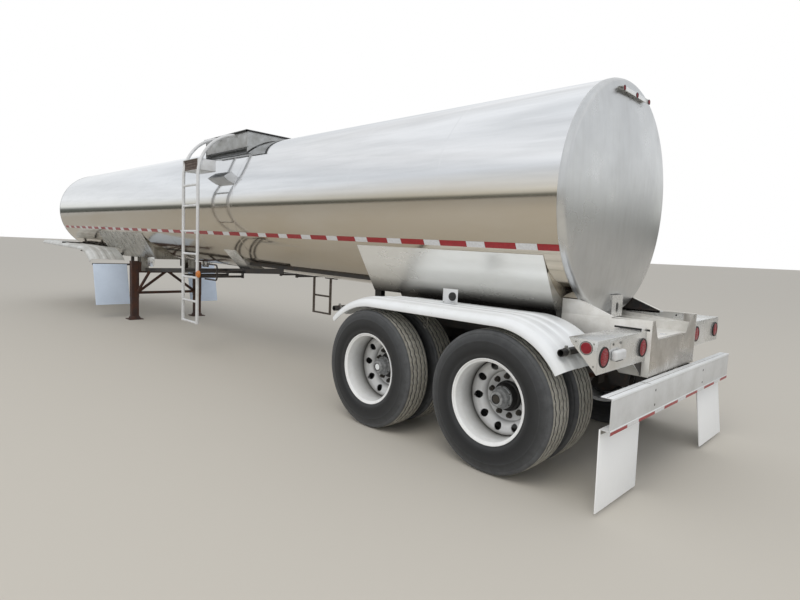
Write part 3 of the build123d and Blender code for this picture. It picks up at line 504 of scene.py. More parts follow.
def buildBarrel():
    seam = {"width": 0.005, "rise": 0.0005, "margin": 0.012}  # ground weld beads between the sheets
    radius = tank["radius"]
    run = [(tank["headFlange"], radius)]
    for index in range(tank["sheets"] - 1):
        place = tank["firstSeam"] + index * tank["sheetWidth"]
        run += [(place - seam["margin"], radius), (place - seam["width"], radius),
                (place - seam["width"] / 3, radius + seam["rise"]),
                (place + seam["width"] / 3, radius + seam["rise"]),
                (place + seam["width"], radius), (place + seam["margin"], radius)]
    run.append((tankLength - tank["headFlange"], radius))
    bm = bmesh.new()
    addLathe(bm, run, (0, 0, 0), (1, 0, 0), tank["steps"])
    bmesh.ops.transform(bm, matrix=tankMatrix, verts=bm.verts)
    keepPiece(bm, "tankBarrel", [polishedStainless], ["tank_shell"], smooth=60)


def buildHeads():
    crown, knuckle, radius, flangeX = (tank[key] for key in ("headCrown", "headKnuckle", "radius",
                                                             "headFlange"))
    ring = radius - knuckle
    dome = (crown ** 2 - knuckle ** 2 + ring ** 2) / (2 * (crown - knuckle))
    lean = atan2(ring, dome - crown)
    bm = bmesh.new()
    # the dome and the knuckle are spun from one point each, then the whole line round the axis
    tip = bm.verts.new((-crown, 0, 0))
    bmesh.ops.spin(bm, geom=[tip], cent=(dome - crown, 0, 0), axis=(0, 1, 0), angle=lean, steps=26,
                   use_merge=False)
    edge = max(bm.verts, key=lambda v: v.co.z)
    bmesh.ops.spin(bm, geom=[edge], cent=(0, 0, ring), axis=(0, 1, 0), angle=pi / 2 - lean, steps=8,
                   use_merge=False)
    rim = max(bm.verts, key=lambda v: v.co.z)
    flange = [bm.verts.new((x, 0, radius + proud))
              for x, proud in ((0.0, 0.0), (0.004, 0.003), (flangeX, 0.003), (flangeX + 0.004, -0.001))]
    for pair in zip([rim] + flange, flange):
        bm.edges.new(pair)
    bmesh.ops.spin(bm, geom=bm.verts[:] + bm.edges[:], cent=(0, 0, 0), axis=(1, 0, 0), angle=2 * pi,
                   steps=tank["steps"], use_merge=True)
    bmesh.ops.remove_doubles(bm, verts=bm.verts, dist=0.0001)
    copy = bmesh.ops.duplicate(bm, geom=bm.verts[:] + bm.edges[:] + bm.faces[:])["geom"]
    bmesh.ops.transform(bm, verts=vertsOf(copy), matrix=Matrix.Translation((tankLength, 0, 0))
                        @ Matrix.Rotation(pi, 4, "Z"))
    bmesh.ops.transform(bm, matrix=tankMatrix, verts=bm.verts)
    keepPiece(bm, "tankHeadsSpun", [headStainless], ["tank_heads"], smooth=50)


buildBarrel()
buildHeads()
print("tank made")


# Stripes of reflective tape along both sides

def buildStripes():
    stripe = {"angle": radians(26.6), "height": 0.050, "lift": 0.0009, "gap": 0.001, "sheetSteps": 4,
              "thick": 0.0006, "rear": 0.026, "firstCut": 0.110, "front": 0.03, "shortest": 0.02}
    lengths = {"red": 0.28, "white": 0.18}
    radius = tank["radius"] + stripe["lift"]
    half = stripe["height"] / 2 / radius
    for name, material, wanted in (("stripeRed", redTape, "red"), ("stripeWhite", whiteTape, "white")):
        bm = bmesh.new()
        place = stripe["rear"] - stripe["firstCut"]  # the first red piece is cut short at the rear rim
        color = "red"
        while place < tankLength - stripe["front"] - stripe["shortest"]:
            stop = place + lengths[color]
            low = max(place, stripe["rear"]) + stripe["gap"]
            high = min(stop, tankLength - stripe["front"]) - stripe["gap"]
            if color == wanted:
                for side in (1, -1):
                    angle = -stripe["angle"] - half
                    first = bm.verts.new((low, side * radius * cos(angle), radius * sin(angle)))
                    last = bm.verts.new((high, first.co.y, first.co.z))
                    line = bm.edges.new((first, last))
                    bmesh.ops.spin(bm, geom=[first, last, line], cent=(0, 0, 0), axis=(1, 0, 0),
                                   angle=side * 2 * half, steps=stripe["sheetSteps"], use_merge=False)
            place = stop
            color = "white" if color == "red" else "red"
        bmesh.ops.solidify(bm, geom=bm.faces[:], thickness=stripe["thick"])
        bmesh.ops.transform(bm, matrix=tankMatrix, verts=bm.verts)
        keepPiece(bm, name, [material])


buildStripes()
print("stripes made")


# Wheels: two tyres, two disc wheels and a hub on each of the four bodies

wheel = {
    "axleZ": 0.508,
    "mountY": 0.90825,
    "dualHalfSpacing": 0.17125,
    "handHoles": 10,
    "handHoleCircle": 0.230,
    "handHoleRadius": 0.030,
    "studs": 10,
    "studCircle": 0.1429,
}
wheelPlaces = [  # body, node ending, x, side, angle of its first hand hole
    ("dual_wheel_rear_left", "rear_left", rearAxleX, 1, radians(28.4)),
    ("dual_wheel_rear_right", "rear_right", rearAxleX, -1, radians(28.4)),
    ("dual_wheel_front_left", "front_left", frontAxleX, 1, radians(0.7)),
    ("dual_wheel_front_right", "front_right", frontAxleX, -1, radians(0.7)),
]
tread = {
    "waves": 48, "waveSteps": 4,
    "waveDepth": 0.0042,  # how far a groove wanders from side to side
    "waveFrom": 0.012, "waveTo": 0.082, "waveRadius": 0.49,
    "ribRadius": 0.5030, "shoulder": 0.080, "shoulderRadius": 0.5042,  # dust lies outside these
}
sidewallScuff = [  # radius and amount of scuffing
    (0.33, 0.25), (0.345, 0.0), (0.42, 0.25), (0.425, 0.5), (0.43, 0.3), (0.462, 0.6), (0.497, 1.0),
]
halfTread = [  # axial place and radius from the middle rib out to the bead
    (0.0165, 0.5079), (0.0190, 0.5070), (0.0205, 0.4965), (0.0275, 0.4965), (0.0290, 0.5065),
    (0.0315, 0.5074), (0.0620, 0.5068), (0.0645, 0.5058), (0.0660, 0.4960), (0.0730, 0.4960),
    (0.0745, 0.5052), (0.0770, 0.5060), (0.0980, 0.5046), (0.1090, 0.5010), (0.1150, 0.4950),
    (0.1180, 0.4870), (0.1205, 0.4790), (0.1195, 0.4760), (0.1215, 0.4730), (0.1262, 0.4620),
    (0.1305, 0.4450), (0.1336, 0.4290), (0.1352, 0.4270), (0.1354, 0.4230), (0.1346, 0.4200),
    (0.1365, 0.3980), (0.1360, 0.3760), (0.1335, 0.3550),
    (0.1300, 0.3390), (0.1288, 0.3350), (0.1292, 0.3300), (0.1262, 0.3240), (0.1190, 0.3130),
    (0.1110, 0.3050), (0.1040, 0.2990), (0.0990, 0.2940),
]


def buildTires(body, ending, x, side):
    bm = bmesh.new()
    profile = [(-a, r) for a, r in reversed(halfTread)] + halfTread
    centre = Vector((x, side * wheel["mountY"], wheel["axleZ"]))
    half = wheel["dualHalfSpacing"]
    for offset in (half, -half):
        addLathe(bm, profile, centre + Vector((0, offset, 0)), (0, 1, 0), tread["waves"] * tread["waveSteps"])
    # dust lies on the ribs, and the grooves between them stay dark
    for face in bm.faces:
        middle = face.calc_center_median() - centre
        radius = hypot(middle.x, middle.z)
        onShoulder = abs(abs(middle.y) - half) > tread["shoulder"] and radius < tread["shoulderRadius"]
        face.material_index = 0 if radius < tread["ribRadius"] or onShoulder else 1
    layDustAndShade(bm, lambda spot: between(hypot(spot.x - centre.x, spot.z - centre.z), sidewallScuff))
    for vert in bm.verts:
        place = vert.co - centre
        across = abs(abs(place.y) - half)
        if tread["waveFrom"] < across < tread["waveTo"] and hypot(place.x, place.z) > tread["waveRadius"]:
            vert.co.y += tread["waveDepth"] * cos(atan2(place.z, place.x) * tread["waves"])
    keepPiece(bm, f"tirePair.{ending}", [tireRubber, treadRubber], [f"tires_{ending}"], body,
              smooth=40)


rimLip = [  # axial place, radius and rounding along the rim's inner side, from the lip inwards
    (0.1165, 0.3045, 0.002), (0.1170, 0.2975, 0.003), (0.1090, 0.2920, 0.004), (0.1055, 0.2800, 0.004),
]
rimRun = rimLip + [(0.0580, 0.2745, 0.006), (-0.0400, 0.2725, 0.006)]
rimRun += [(-along, radius, rounding) for along, radius, rounding in reversed(rimLip)]
discRun = [  # axial place and radius of the outer wheel's disc, from the hub's bore to the rim
    (-0.1690, 0.1105), (-0.1690, 0.1790), (-0.1690, 0.1835, 0.001), (-0.1650, 0.1850, 0.001),
    (-0.1640, 0.1885), (-0.1280, 0.2060, 0.012),
    (-0.1160, 0.2220, 0.010), (-0.1120, 0.2450, 0.008), (-0.1040, 0.2620, 0.010), (-0.0870, 0.2760),
]
discShadeAndDust = [  # radius on the disc's outer side and amount of painted shade and brake dust, with a dark ring of painted shade at its step
    (0.11, 0.5), (0.135, 0.3), (0.179, 0.3), (0.1835, 0.9), (0.186, 0.9), (0.1885, 0.2), (0.206, 0.12),
    (0.245, 0.25), (0.262, 0.6), (0.270, 0.9),
]
rimShadeAndDust = [  # axial place on the rim and amount of painted shade and brake dust
    (-0.09, 1.0), (-0.06, 0.75), (0.0, 0.3), (0.055, 0.05), (0.10, 0.0), (0.12, 0.0),
]


def spunPair(name, run, steps, sheet):
    # both rims or both discs of a pair about the origin, on the left side: the outer one is towards +Y
    bm = bmesh.new()
    for sign in (1, -1):
        addLathe(bm, run, (0, sign * wheel["dualHalfSpacing"], 0), (0, sign, 0), steps)
    bmesh.ops.recalc_face_normals(bm, faces=bm.faces)
    bmesh.ops.solidify(bm, geom=bm.faces[:], thickness=sheet)
    bmesh.ops.recalc_face_normals(bm, faces=bm.faces)
    return meshOf(bm, name)


def holedDiscs():
    bm = bmesh.new()
    for index in range(wheel["handHoles"]):
        angle = 2 * pi * index / wheel["handHoles"]
        x, z = wheel["handHoleCircle"] * cos(angle), wheel["handHoleCircle"] * sin(angle)
        addRod(bm, (x, -0.3, z), (x, 0.3, z), wheel["handHoleRadius"], 28)
    cutter = addObject("discCutter", meshOf(bm, "discCutter"))
    blank = addObject("discBlank", spunPair("discBlank", discRun, 120, 0.009))
    cut = blank.modifiers.new("handHoles", "BOOLEAN")
    cut.object = cutter
    cut.operation = "DIFFERENCE"
    cut.solver = "EXACT"
    graph = bpy.context.evaluated_depsgraph_get()
    holed = bpy.data.meshes.new_from_object(blank.evaluated_get(graph))
    for item in (blank, cutter):
        bpy.data.objects.remove(item)
    return holed


rimMesh = spunPair("rimBlank", rimRun, 128, 0.006)
discMesh = holedDiscs()


def buildWheels(body, ending, x, side, turn):
    bm = bmesh.new()
    bm.from_mesh(rimMesh)
    bm.from_mesh(discMesh)
    paintNew(bm, 0)
    half = wheel["dualHalfSpacing"]

    def brakeDustAndShade(spot):
        radius, across = hypot(spot.x, spot.z), abs(spot.y) - half
        onDisc = radius < discShadeAndDust[-1][0] and across < -0.080
        return between(radius, discShadeAndDust) if onDisc else between(across, rimShadeAndDust)

    # painted shade and brake dust: darker in the wheel's recesses and at the disc's step
    layDustAndShade(bm, brakeDustAndShade)
    # valve stem of the outer wheel, out of a hand hole
    stem = {"angle": radians(-36), "radius": 0.0042, "ends": [(0.262, 0.050), (0.243, 0.105)]}
    foot, tip = [(reach * cos(stem["angle"]), across, reach * sin(stem["angle"]))
                 for reach, across in stem["ends"]]
    addRod(bm, foot, tip, stem["radius"], 10, 1)
    bmesh.ops.rotate(bm, matrix=Matrix.Rotation(-turn, 3, "Y"), verts=bm.verts)
    if side < 0:
        bmesh.ops.scale(bm, vec=(1, -1, 1), verts=bm.verts)
    bmesh.ops.translate(bm, vec=(x, side * wheel["mountY"], wheel["axleZ"]), verts=bm.verts)
    keepPiece(bm, f"wheelPair.{ending}", [wheelEnamel, zincPlate], [f"wheels_{ending}"], body,
              smooth=35)


hubRun = [  # axial place from the mounting plane, radius: the hub's outside
    (0.0080, 0.1180), (0.0080, 0.1120, 0.003), (0.0360, 0.1085, 0.004), (0.0400, 0.0950, 0.004),
    (0.0880, 0.0870, 0.004), (0.0920, 0.0700),
]
capRun = [  # the oil cap over it, out to its window
    (0.0880, 0.0830), (0.0990, 0.0825, 0.002), (0.1030, 0.0740, 0.002), (0.1340, 0.0700, 0.004),
    (0.1480, 0.0590, 0.004), (0.1680, 0.0545, 0.003), (0.1720, 0.0490, 0.002), (0.1720, 0.0350, 0.001),
]
windowRing = [(0.1720, 0.0350), (0.1690, 0.0340), (0.1690, 0.0270)]
window = [(0.1690, 0.0270), (0.1700, 0.0200, 0.002), (0.1705, 0.0)]
drumRun = [  # the brake drum behind the wheels
    (-0.0110, 0.1090), (-0.0110, 0.1680, 0.006), (-0.0620, 0.2000, 0.010), (-0.0780, 0.2080, 0.003),
    (-0.0980, 0.2080, 0.002), (-0.1020, 0.2150, 0.002), (-0.2050, 0.2190, 0.002), (-0.2220, 0.2200, 0.003),
    (-0.2220, 0.2095), (-0.0900, 0.2000), (-0.0500, 0.1600), (-0.0500, 0.1040), (-0.1900, 0.0960),
    (-0.2320, 0.0840, 0.003), (-0.2320, 0.0480),
]


def buildHub(body, ending, x, side, turn):
    nutStack = [  # from and to out of the disc, radius, sides, rounding: washer, nut, stud
        (0.0042, 0.012, 0.0240, 20, 0.001), (0.010, 0.034, 0.0190, 6, 0.0015),
        (0.030, 0.046, 0.0105, 12, 0.001),
    ]
    screw = {"count": 6, "circle": 0.0780, "height": 0.0985, "radius": 0.0050}
    bm = bmesh.new()
    centre = (0, 0, 0)
    addLathe(bm, hubRun, centre, (0, 1, 0), 64)
    addLathe(bm, capRun, centre, (0, 1, 0), 64, 2)
    addLathe(bm, windowRing, centre, (0, 1, 0), 64)
    addLathe(bm, window, centre, (0, 1, 0), 64, 3)
    addLathe(bm, drumRun, centre, (0, 1, 0), 96)
    for index in range(wheel["studs"]):
        angle = turn + 2 * pi * (index + 0.5) / wheel["studs"]
        studX, studZ = wheel["studCircle"] * cos(angle), wheel["studCircle"] * sin(angle)
        for first, last, radius, sides, edge in nutStack:
            addRod(bm, (studX, first, studZ), (studX, last, studZ), radius, sides, 1, edge)
    for index in range(screw["count"]):
        angle = 2 * pi * (index + 0.5) / screw["count"]
        spot = Vector((screw["circle"] * cos(angle), screw["height"], screw["circle"] * sin(angle)))
        addRod(bm, spot, spot + Vector((0, 0.006, 0)), screw["radius"], 6, 1)
    if side < 0:
        bmesh.ops.scale(bm, vec=(1, -1, 1), verts=bm.verts)
    bmesh.ops.translate(bm, vec=(x, side * wheel["mountY"], wheel["axleZ"]), verts=bm.verts)
    windowFinish = whiteEnamel if "front" in ending else nutSteel
    keepPiece(bm, f"hubAndDrum.{ending}", [hubPaint, nutSteel, capPaint, windowFinish], [f"hub_{ending}"],
              body, smooth=35)


for body, ending, x, side, turn in wheelPlaces:
    buildTires(body, ending, x, side)
    buildWheels(body, ending, x, side, turn)
    buildHub(body, ending, x, side, turn)
for spare in (rimMesh, discMesh):
    bpy.data.meshes.remove(spare)
print("wheels made")


# Fenders: ribbed sheet over the tandem, and over the tractor's axles in front

fenderRun = [  # distance from the centre line, height above the outer lip, rounding
    (1.202, 0.006, 0.0), (1.214, 0.002, 0.003), (1.217, 0.014, 0.004), (1.215, 0.040, 0.012),
    (1.180, 0.072, 0.012), (1.122, 0.078, 0.006), (1.106, 0.087, 0.006), (1.056, 0.087, 0.006),
    (1.040, 0.076, 0.006), (0.982, 0.074, 0.006), (0.964, 0.083, 0.006), (0.916, 0.083, 0.006),
    (0.900, 0.072, 0.006), (0.842, 0.070, 0.006), (0.824, 0.079, 0.006), (0.776, 0.079, 0.006),
    (0.760, 0.068, 0.006), (0.612, 0.064, 0.006), (0.602, 0.056, 0.003), (0.601, 0.046, 0.0),
]
rearFender = {
    "lipZ": 1.040,
    "rearX": rearAxleX - 0.050, "rearRadius": 0.548, "rearAngle": radians(57),
    "frontX": rearAxleX + 1.220, "frontRadius": 0.704, "frontAngle": radians(42),
    "sheet": 0.0035,
}
frontFender = {
    "slope": atan2(0.070, 3.130), "bendX": rearAxleX + 9.950, "bendZ": 1.280, "radius": 1.200,
    "angle": radians(34), "tipX": 7.002, "sheet": 0.0035,
}
frontShadeStrip = {"fromBend": 1.550, "inner": 0.640, "outer": 1.176, "low": 0.066, "high": 0.104, "thick": 0.004}


def buildRearFenders():
    part = rearFender
    bm = bmesh.new()
    spots = [((part["rearX"], y, part["lipZ"] + height), rounding) for y, height, rounding in fenderRun]
    section = addWire(bm, spots)
    bmesh.ops.spin(bm, geom=section, cent=(part["rearX"], 0, part["lipZ"] - part["rearRadius"]),
                   axis=(0, 1, 0), angle=-part["rearAngle"], steps=26, use_merge=False)
    made = bmesh.ops.extrude_edge_only(bm, edges=edgesOf(section))["geom"]
    bmesh.ops.translate(bm, vec=(part["frontX"] - part["rearX"], 0, 0), verts=vertsOf(made))
    bmesh.ops.spin(bm, geom=edgesOf(made), cent=(part["frontX"], 0, part["lipZ"] - part["frontRadius"]),
                   axis=(0, 1, 0), angle=part["frontAngle"], steps=22, use_merge=False)
    bmesh.ops.recalc_face_normals(bm, faces=bm.faces)
    bmesh.ops.solidify(bm, geom=bm.faces[:], thickness=part["sheet"])
    mirrored(bm)
    keepPiece(bm, "rearFenders", [whiteEnamel], ["rear_fender_left", "rear_fender_right"],
              smooth=40)


def buildFrontFenders():
    part = frontFender
    slope = part["slope"]
    bm = bmesh.new()
    tilt = Matrix.Rotation(-slope, 4, "Y")
    spots = [(Vector((part["bendX"], 0, part["bendZ"])) + tilt @ Vector((0, y, height)), rounding)
             for y, height, rounding in fenderRun]
    section = addWire(bm, spots)
    centre = (part["bendX"] + part["radius"] * sin(slope), 0, part["bendZ"] - part["radius"] * cos(slope))
    bmesh.ops.spin(bm, geom=section, cent=centre, axis=(0, 1, 0), angle=-part["angle"], steps=16,
                   use_merge=False)
    made = bmesh.ops.extrude_edge_only(bm, edges=edgesOf(section))["geom"]
    reach = part["tipX"] - part["bendX"]
    bmesh.ops.translate(bm, vec=(reach, 0, reach * tan(slope)), verts=vertsOf(made))
    bmesh.ops.recalc_face_normals(bm, faces=bm.faces)
    bmesh.ops.solidify(bm, geom=bm.faces[:], thickness=part["sheet"])
    paintNew(bm, 0)
    # painted shade: a black strip stands across the top; it is tall enough to read as a dark line from a low
    # view
    shadeStripX = part["bendX"] + frontShadeStrip["fromBend"]
    shadeStripZ = part["bendZ"] + frontShadeStrip["fromBend"] * tan(slope)
    addBox(bm, (shadeStripX, frontShadeStrip["inner"], shadeStripZ + frontShadeStrip["low"]),
           (shadeStripX + frontShadeStrip["thick"], frontShadeStrip["outer"], shadeStripZ + frontShadeStrip["high"]), 0.001, 1)
    mirrored(bm)
    keepPiece(bm, "frontFenders", [dustyEnamel, framePaint], ["front_fender_left", "front_fender_right"],
              smooth=40)


buildRearFenders()
buildFrontFenders()
print("fenders made")


# Rear end: side plates, centre panel, lamp boxes, lamps and bumper

rearEnd = {
    "panelX": rearAxleX - 0.800,
    "plateY": 0.474,
    "boxX": rearAxleX - 0.770,
    "boxTopX": rearAxleX - 0.585,
    "boxY": 1.213,
    "boxTopZ": 1.053,
    "boxLowZ": 0.850,
    "sheet": 0.005,
    "lampZ": 0.948,
}


def addFastener(bm, place, out, radius, height, index):
    # a hexagon head on a washer
    place = Vector(place)
    out = Vector(out)
    addRod(bm, place, place + out * height * 0.25, radius * 1.35, 16, index)
    addRod(bm, place + out * height * 0.2, place + out * height, radius, 6, index, radius * 0.08)


def onSide(y, points):
    # an outline of (x, z) points in an upright plane along the trailer
    return [(x, y, z) for x, z in points]


def buildSidePlates():
    rear, y, sheet = rearEnd["panelX"], rearEnd["plateY"], rearEnd["sheet"]
    front, step, wedgeRear = rearAxleX - 0.137, rearAxleX - 0.490, rearAxleX - 0.520
    side = {"foot": 0.737, "top": 1.123, "wedgeTop": 1.221, "wedgeIn": 0.0015, "shadeSheetIn": 0.0062,
            "lipX": rearAxleX - 0.3925, "lipRear": 0.136, "lipFront": 0.134, "lipLow": 1.1695,
            "lipTop": 1.1745, "railLow": 1.118, "railTop": 1.1245, "slotLow": 1.052, "slotTop": 1.066,
            "dustIn": 0.0012, "holeX": 0.150, "holeZ": 1.095, "hole": 0.007}
    bm = bmesh.new()
    lower = [(rear, side["foot"]), (rearAxleX - 0.600, side["foot"]), (step, 0.858), (step, 0.930),
             (front, 1.020), (front, 1.108), (rearAxleX - 0.500, 1.112), (rear, side["top"])]
    addPlate(bm, onSide(y, lower), (0, -sheet, 0), 0, 0.0012)
    # the wedge above is a second sheet, welded on along its foot, with a turned out top edge
    wedge = [(wedgeRear, 1.098), (front, 1.094), (front, side["wedgeTop"]),
             (rearAxleX - 0.265, side["wedgeTop"]), (wedgeRear, 1.124)]
    addPlate(bm, onSide(y - side["wedgeIn"], wedge), (0, -sheet * 0.7, 0), 0, 0.001)
    # painted shade: its inner side is a black sheet
    addPlate(bm, onSide(y - side["shadeSheetIn"], wedge), (0, 0.001, 0), 3)
    turn = Matrix.Rotation(-atan2(0.097, 0.255), 4, "Y")
    addBox(bm, (side["lipX"] - side["lipRear"], y - 0.026, side["lipLow"]),
           (side["lipX"] + side["lipFront"], y - 0.001, side["lipTop"]), 0.0015, 0, turn)
    # flat rail along the top of the rear part, over a slot painted as a black strip of shade
    addBox(bm, (rear + 0.002, y - 0.014, side["railLow"]), (wedgeRear, y - 0.0005, side["railTop"]), 0.0015)
    addBox(bm, (rear + 0.012, y - 0.004, side["slotLow"]), (rearAxleX - 0.545, y + 0.0004, side["slotTop"]),
           0.001, 1)
    # the inner sides are dull with dust
    dustRear, dustFront = rear + 0.006, rearAxleX - 0.150
    dust = [(dustRear, 1.056), (dustFront, 1.090), (dustFront, 1.106), (dustRear, 1.117)]
    addPlate(bm, onSide(y - sheet - side["dustIn"], dust), (0, 0.001, 0), 2)
    mirrored(bm)
    # a bolt hole high on the right one, painted as a black disc of shade
    hole = Vector((rear + side["holeX"], -y, side["holeZ"]))
    addRod(bm, hole - Vector((0, 0.0004, 0)), hole + Vector((0, 0.0072, 0)), side["hole"], 16, 1)
    keepPiece(bm, "rearSidePlates", [dustySheet, blackRubber, satinStainless, framePaint],
              ["rear_side_plates"])


def buildCenterPanel():
    x = rearEnd["panelX"]
    panel = {"half": 0.468, "foot": 0.737, "top": 1.123, "sheet": 0.005, "footDepth": 0.040,
             "sideDepth": 0.093, "notchRight": -0.240, "notchLeft": 0.335, "notchZ": 0.988, "lipDepth": 0.030,
             "deckFront": rearAxleX - 0.150, "deckHalf": 0.383, "deckZ": 0.982, "shelfY": 0.424,
             "shelfHalf": 0.041, "shelfZ": 1.052, "wallY": 0.3835, "thin": 0.004}
    half, foot, top, notchZ = (panel[key] for key in ("half", "foot", "top", "notchZ"))
    front, deckZ, shelfZ, thin = (panel[key] for key in ("deckFront", "deckZ", "shelfZ", "thin"))
    bm = bmesh.new()
    outline = [(-half, foot), (half, foot), (half, top), (0.418, top), (0.362, 1.010),
               (panel["notchLeft"], notchZ), (panel["notchRight"], notchZ), (-0.265, 1.000), (-0.355, top),
               (-half, top)]
    addPlate(bm, [(x, y, z) for y, z in outline], (panel["sheet"], 0, 0), 0, 0.0012)
    # edges turned forward: foot, sides, and the lip round the notch
    addBox(bm, (x + 0.002, -half, foot), (x + panel["footDepth"], half, foot + 0.005), 0.0015)
    for y in (half, -half):
        addBox(bm, (x + 0.002, y - 0.0025, foot), (x + panel["sideDepth"], y + 0.0025, top), 0.0015)
    addBox(bm, (x + 0.002, panel["notchRight"], notchZ - thin),
           (x + panel["lipDepth"], panel["notchLeft"], notchZ), 0.0012)
    # deck behind the notch, and on each side of it a wall and a shelf along the frame rail
    addBox(bm, (x + 0.004, -panel["deckHalf"], deckZ), (front, panel["deckHalf"], deckZ + thin), 0.0012, 1)
    for side in (1, -1):
        shelfY, wallY = side * panel["shelfY"], side * panel["wallY"]
        addBox(bm, (x + 0.006, shelfY - panel["shelfHalf"], shelfZ),
               (front, shelfY + panel["shelfHalf"], shelfZ + thin), 0.0012, 1)
        addBox(bm, (x + 0.007, wallY - 0.0015, deckZ + thin), (front, wallY + 0.0015, shelfZ + 0.002), 0.0, 1)
    keepPiece(bm, "rearCenterPanel", [filmedSheet, dustySheet], ["rear_center_panel"])


def buildLampBoxes():
    x, topX, low, top = (rearEnd[key] for key in ("boxX", "boxTopX", "boxLowZ", "boxTopZ"))
    inner, outer, sheet = rearEnd["plateY"] + 0.001, rearEnd["boxY"], rearEnd["sheet"]
    box = {"footBack": 0.015, "footTop": 1.030, "screws": [(0.138, 1.030), (0.026, 1.030), (0.022, 0.897)],
           "screw": 0.0038, "gussetX": 0.020, "gussetWide": 0.160, "gussetLow": 0.738, "fold": 0.0035,
           "tabWide": 0.085, "tabRise": 0.022}
    plate = {"right": 0.870, "left": 1.052, "low": 0.984, "top": 1.042, "thick": 0.004, "boltZ": 1.016}
    hood = {"right": 0.880, "left": 1.036, "low": 0.915, "top": 0.980, "depth": 0.038, "round": 0.018}
    shadeUnderHood = {"right": 0.910, "left": 1.005, "low": 0.9115, "top": 0.9155, "depth": 0.028}
    bm = bmesh.new()
    # rear face, top and slanted foot of folded sheet
    addBox(bm, (x, inner, low), (x + sheet, outer, top), 0.0022)
    addBox(bm, (x + 0.001, inner, top - sheet), (topX, outer, top), 0.0022)
    footX, footZ = topX - box["footBack"], box["footTop"]
    addPlate(bm, [(x, inner, low), (x, outer, low), (footX, outer, footZ), (footX, inner, footZ)],
             (0.003, 0, 0.004), 0, 0.001)
    # the end face, screwed on over a turned edge
    addPlate(bm, onSide(outer, [(x, low), (x, top), (topX, top), (topX - 0.016, 1.022)]), (0, -sheet, 0),
             0, 0.0016)
    for screwX, screwZ in box["screws"]:
        addFastener(bm, (x + screwX, outer, screwZ), (0, 1, 0), box["screw"], 0.0035, 1)
    # a dark gusset under the box's foot, and its bright folded edge
    gussetX = x + box["gussetX"]
    gusset = [(gussetX, inner, low), (gussetX, inner + box["gussetWide"], low),
              (gussetX, inner, box["gussetLow"])]
    addPlate(bm, gusset, (0.004, 0, 0), 4)
    addRod(bm, gusset[1], gusset[2], box["fold"], 10)
    # a small upright tab where the box meets the side plate
    addBox(bm, (x + 0.001, inner, top - 0.004), (x + 0.006, inner + box["tabWide"], top + box["tabRise"]),
           0.0015)
    mirrored(bm)
    # on the left only: a plate with two bolts, and the hooded lamp under it
    plateX = x - plate["thick"]
    addBox(bm, (plateX, plate["right"], plate["low"]), (x, plate["left"], plate["top"]), 0.001)
    for y in (0.906, 1.016):
        addFastener(bm, (plateX, y, plate["boltZ"]), (-1, 0, 0), 0.0068, 0.006, 1)
    addBox(bm, (x - hood["depth"], hood["right"], hood["low"]), (x - 0.001, hood["left"], hood["top"]),
           hood["round"], 3, None, 5)
    # painted shade: a thin black strip just under the hood
    addBox(bm, (x - shadeUnderHood["depth"], shadeUnderHood["right"], shadeUnderHood["low"]), (x - 0.004, shadeUnderHood["left"], shadeUnderHood["top"]),
           0.001, 2)
    keepPiece(bm, "lampBoxes", [satinStainless, zincPlate, blackRubber, ladderPaint, framePaint],
              ["lamp_boxes"])


lampRun = [  # distance out of its face and radius: rubber grommet first, then the lens
    (0.0, 0.0690, 0.0), (0.0060, 0.0690, 0.002), (0.0100, 0.0660, 0.002), (0.0095, 0.0615, 0.002),
    (0.0030, 0.0598, 0.0),
]
lensRun = [(0.0030, 0.0598, 0.0), (0.0070, 0.0588, 0.003), (0.0100, 0.0420, 0.004), (0.0112, 0.0, 0.0)]
lensRings = [(0.046, 0.0092), (0.038, 0.0102), (0.029, 0.0102), (0.019, 0.0102)]  # radius and height


def addLamp(bm, place, out, size, lens=0):
    # size 1 is a lamp of 138 mm over its grommet
    ridge = {"half": 0.0012, "rise": 0.0008}
    for run, index in ((lampRun, 1), (lensRun, lens)):
        addLathe(bm, [(a * size, r * size, c * size) for a, r, c in run], place, out, 40, index)
    # moulded rings of the lens
    for ring, height in lensRings:
        foot = height * size
        addLathe(bm, [(foot, (ring + ridge["half"]) * size), (foot + ridge["rise"], ring * size),
                      (foot, (ring - ridge["half"]) * size)], place, out, 40, lens)


def buildRearLamps():
    lamps = {"across": (1.130, 0.540, -0.600, -1.122), "size": 0.92, "sideX": 0.072, "sideZ": 1.000,
             "sideSize": 0.60}
    bm = bmesh.new()
    for y in lamps["across"]:
        addLamp(bm, (rearEnd["boxX"] - 0.0003, y, rearEnd["lampZ"]), (-1, 0, 0), lamps["size"])
    for side in (1, -1):
        addLamp(bm, (rearEnd["boxX"] + lamps["sideX"], side * (rearEnd["boxY"] - 0.004), lamps["sideZ"]),
                (0, side, 0), lamps["sideSize"])
    keepPiece(bm, "rearLamps", [redLens, blackRubber], ["rear_lamps"])


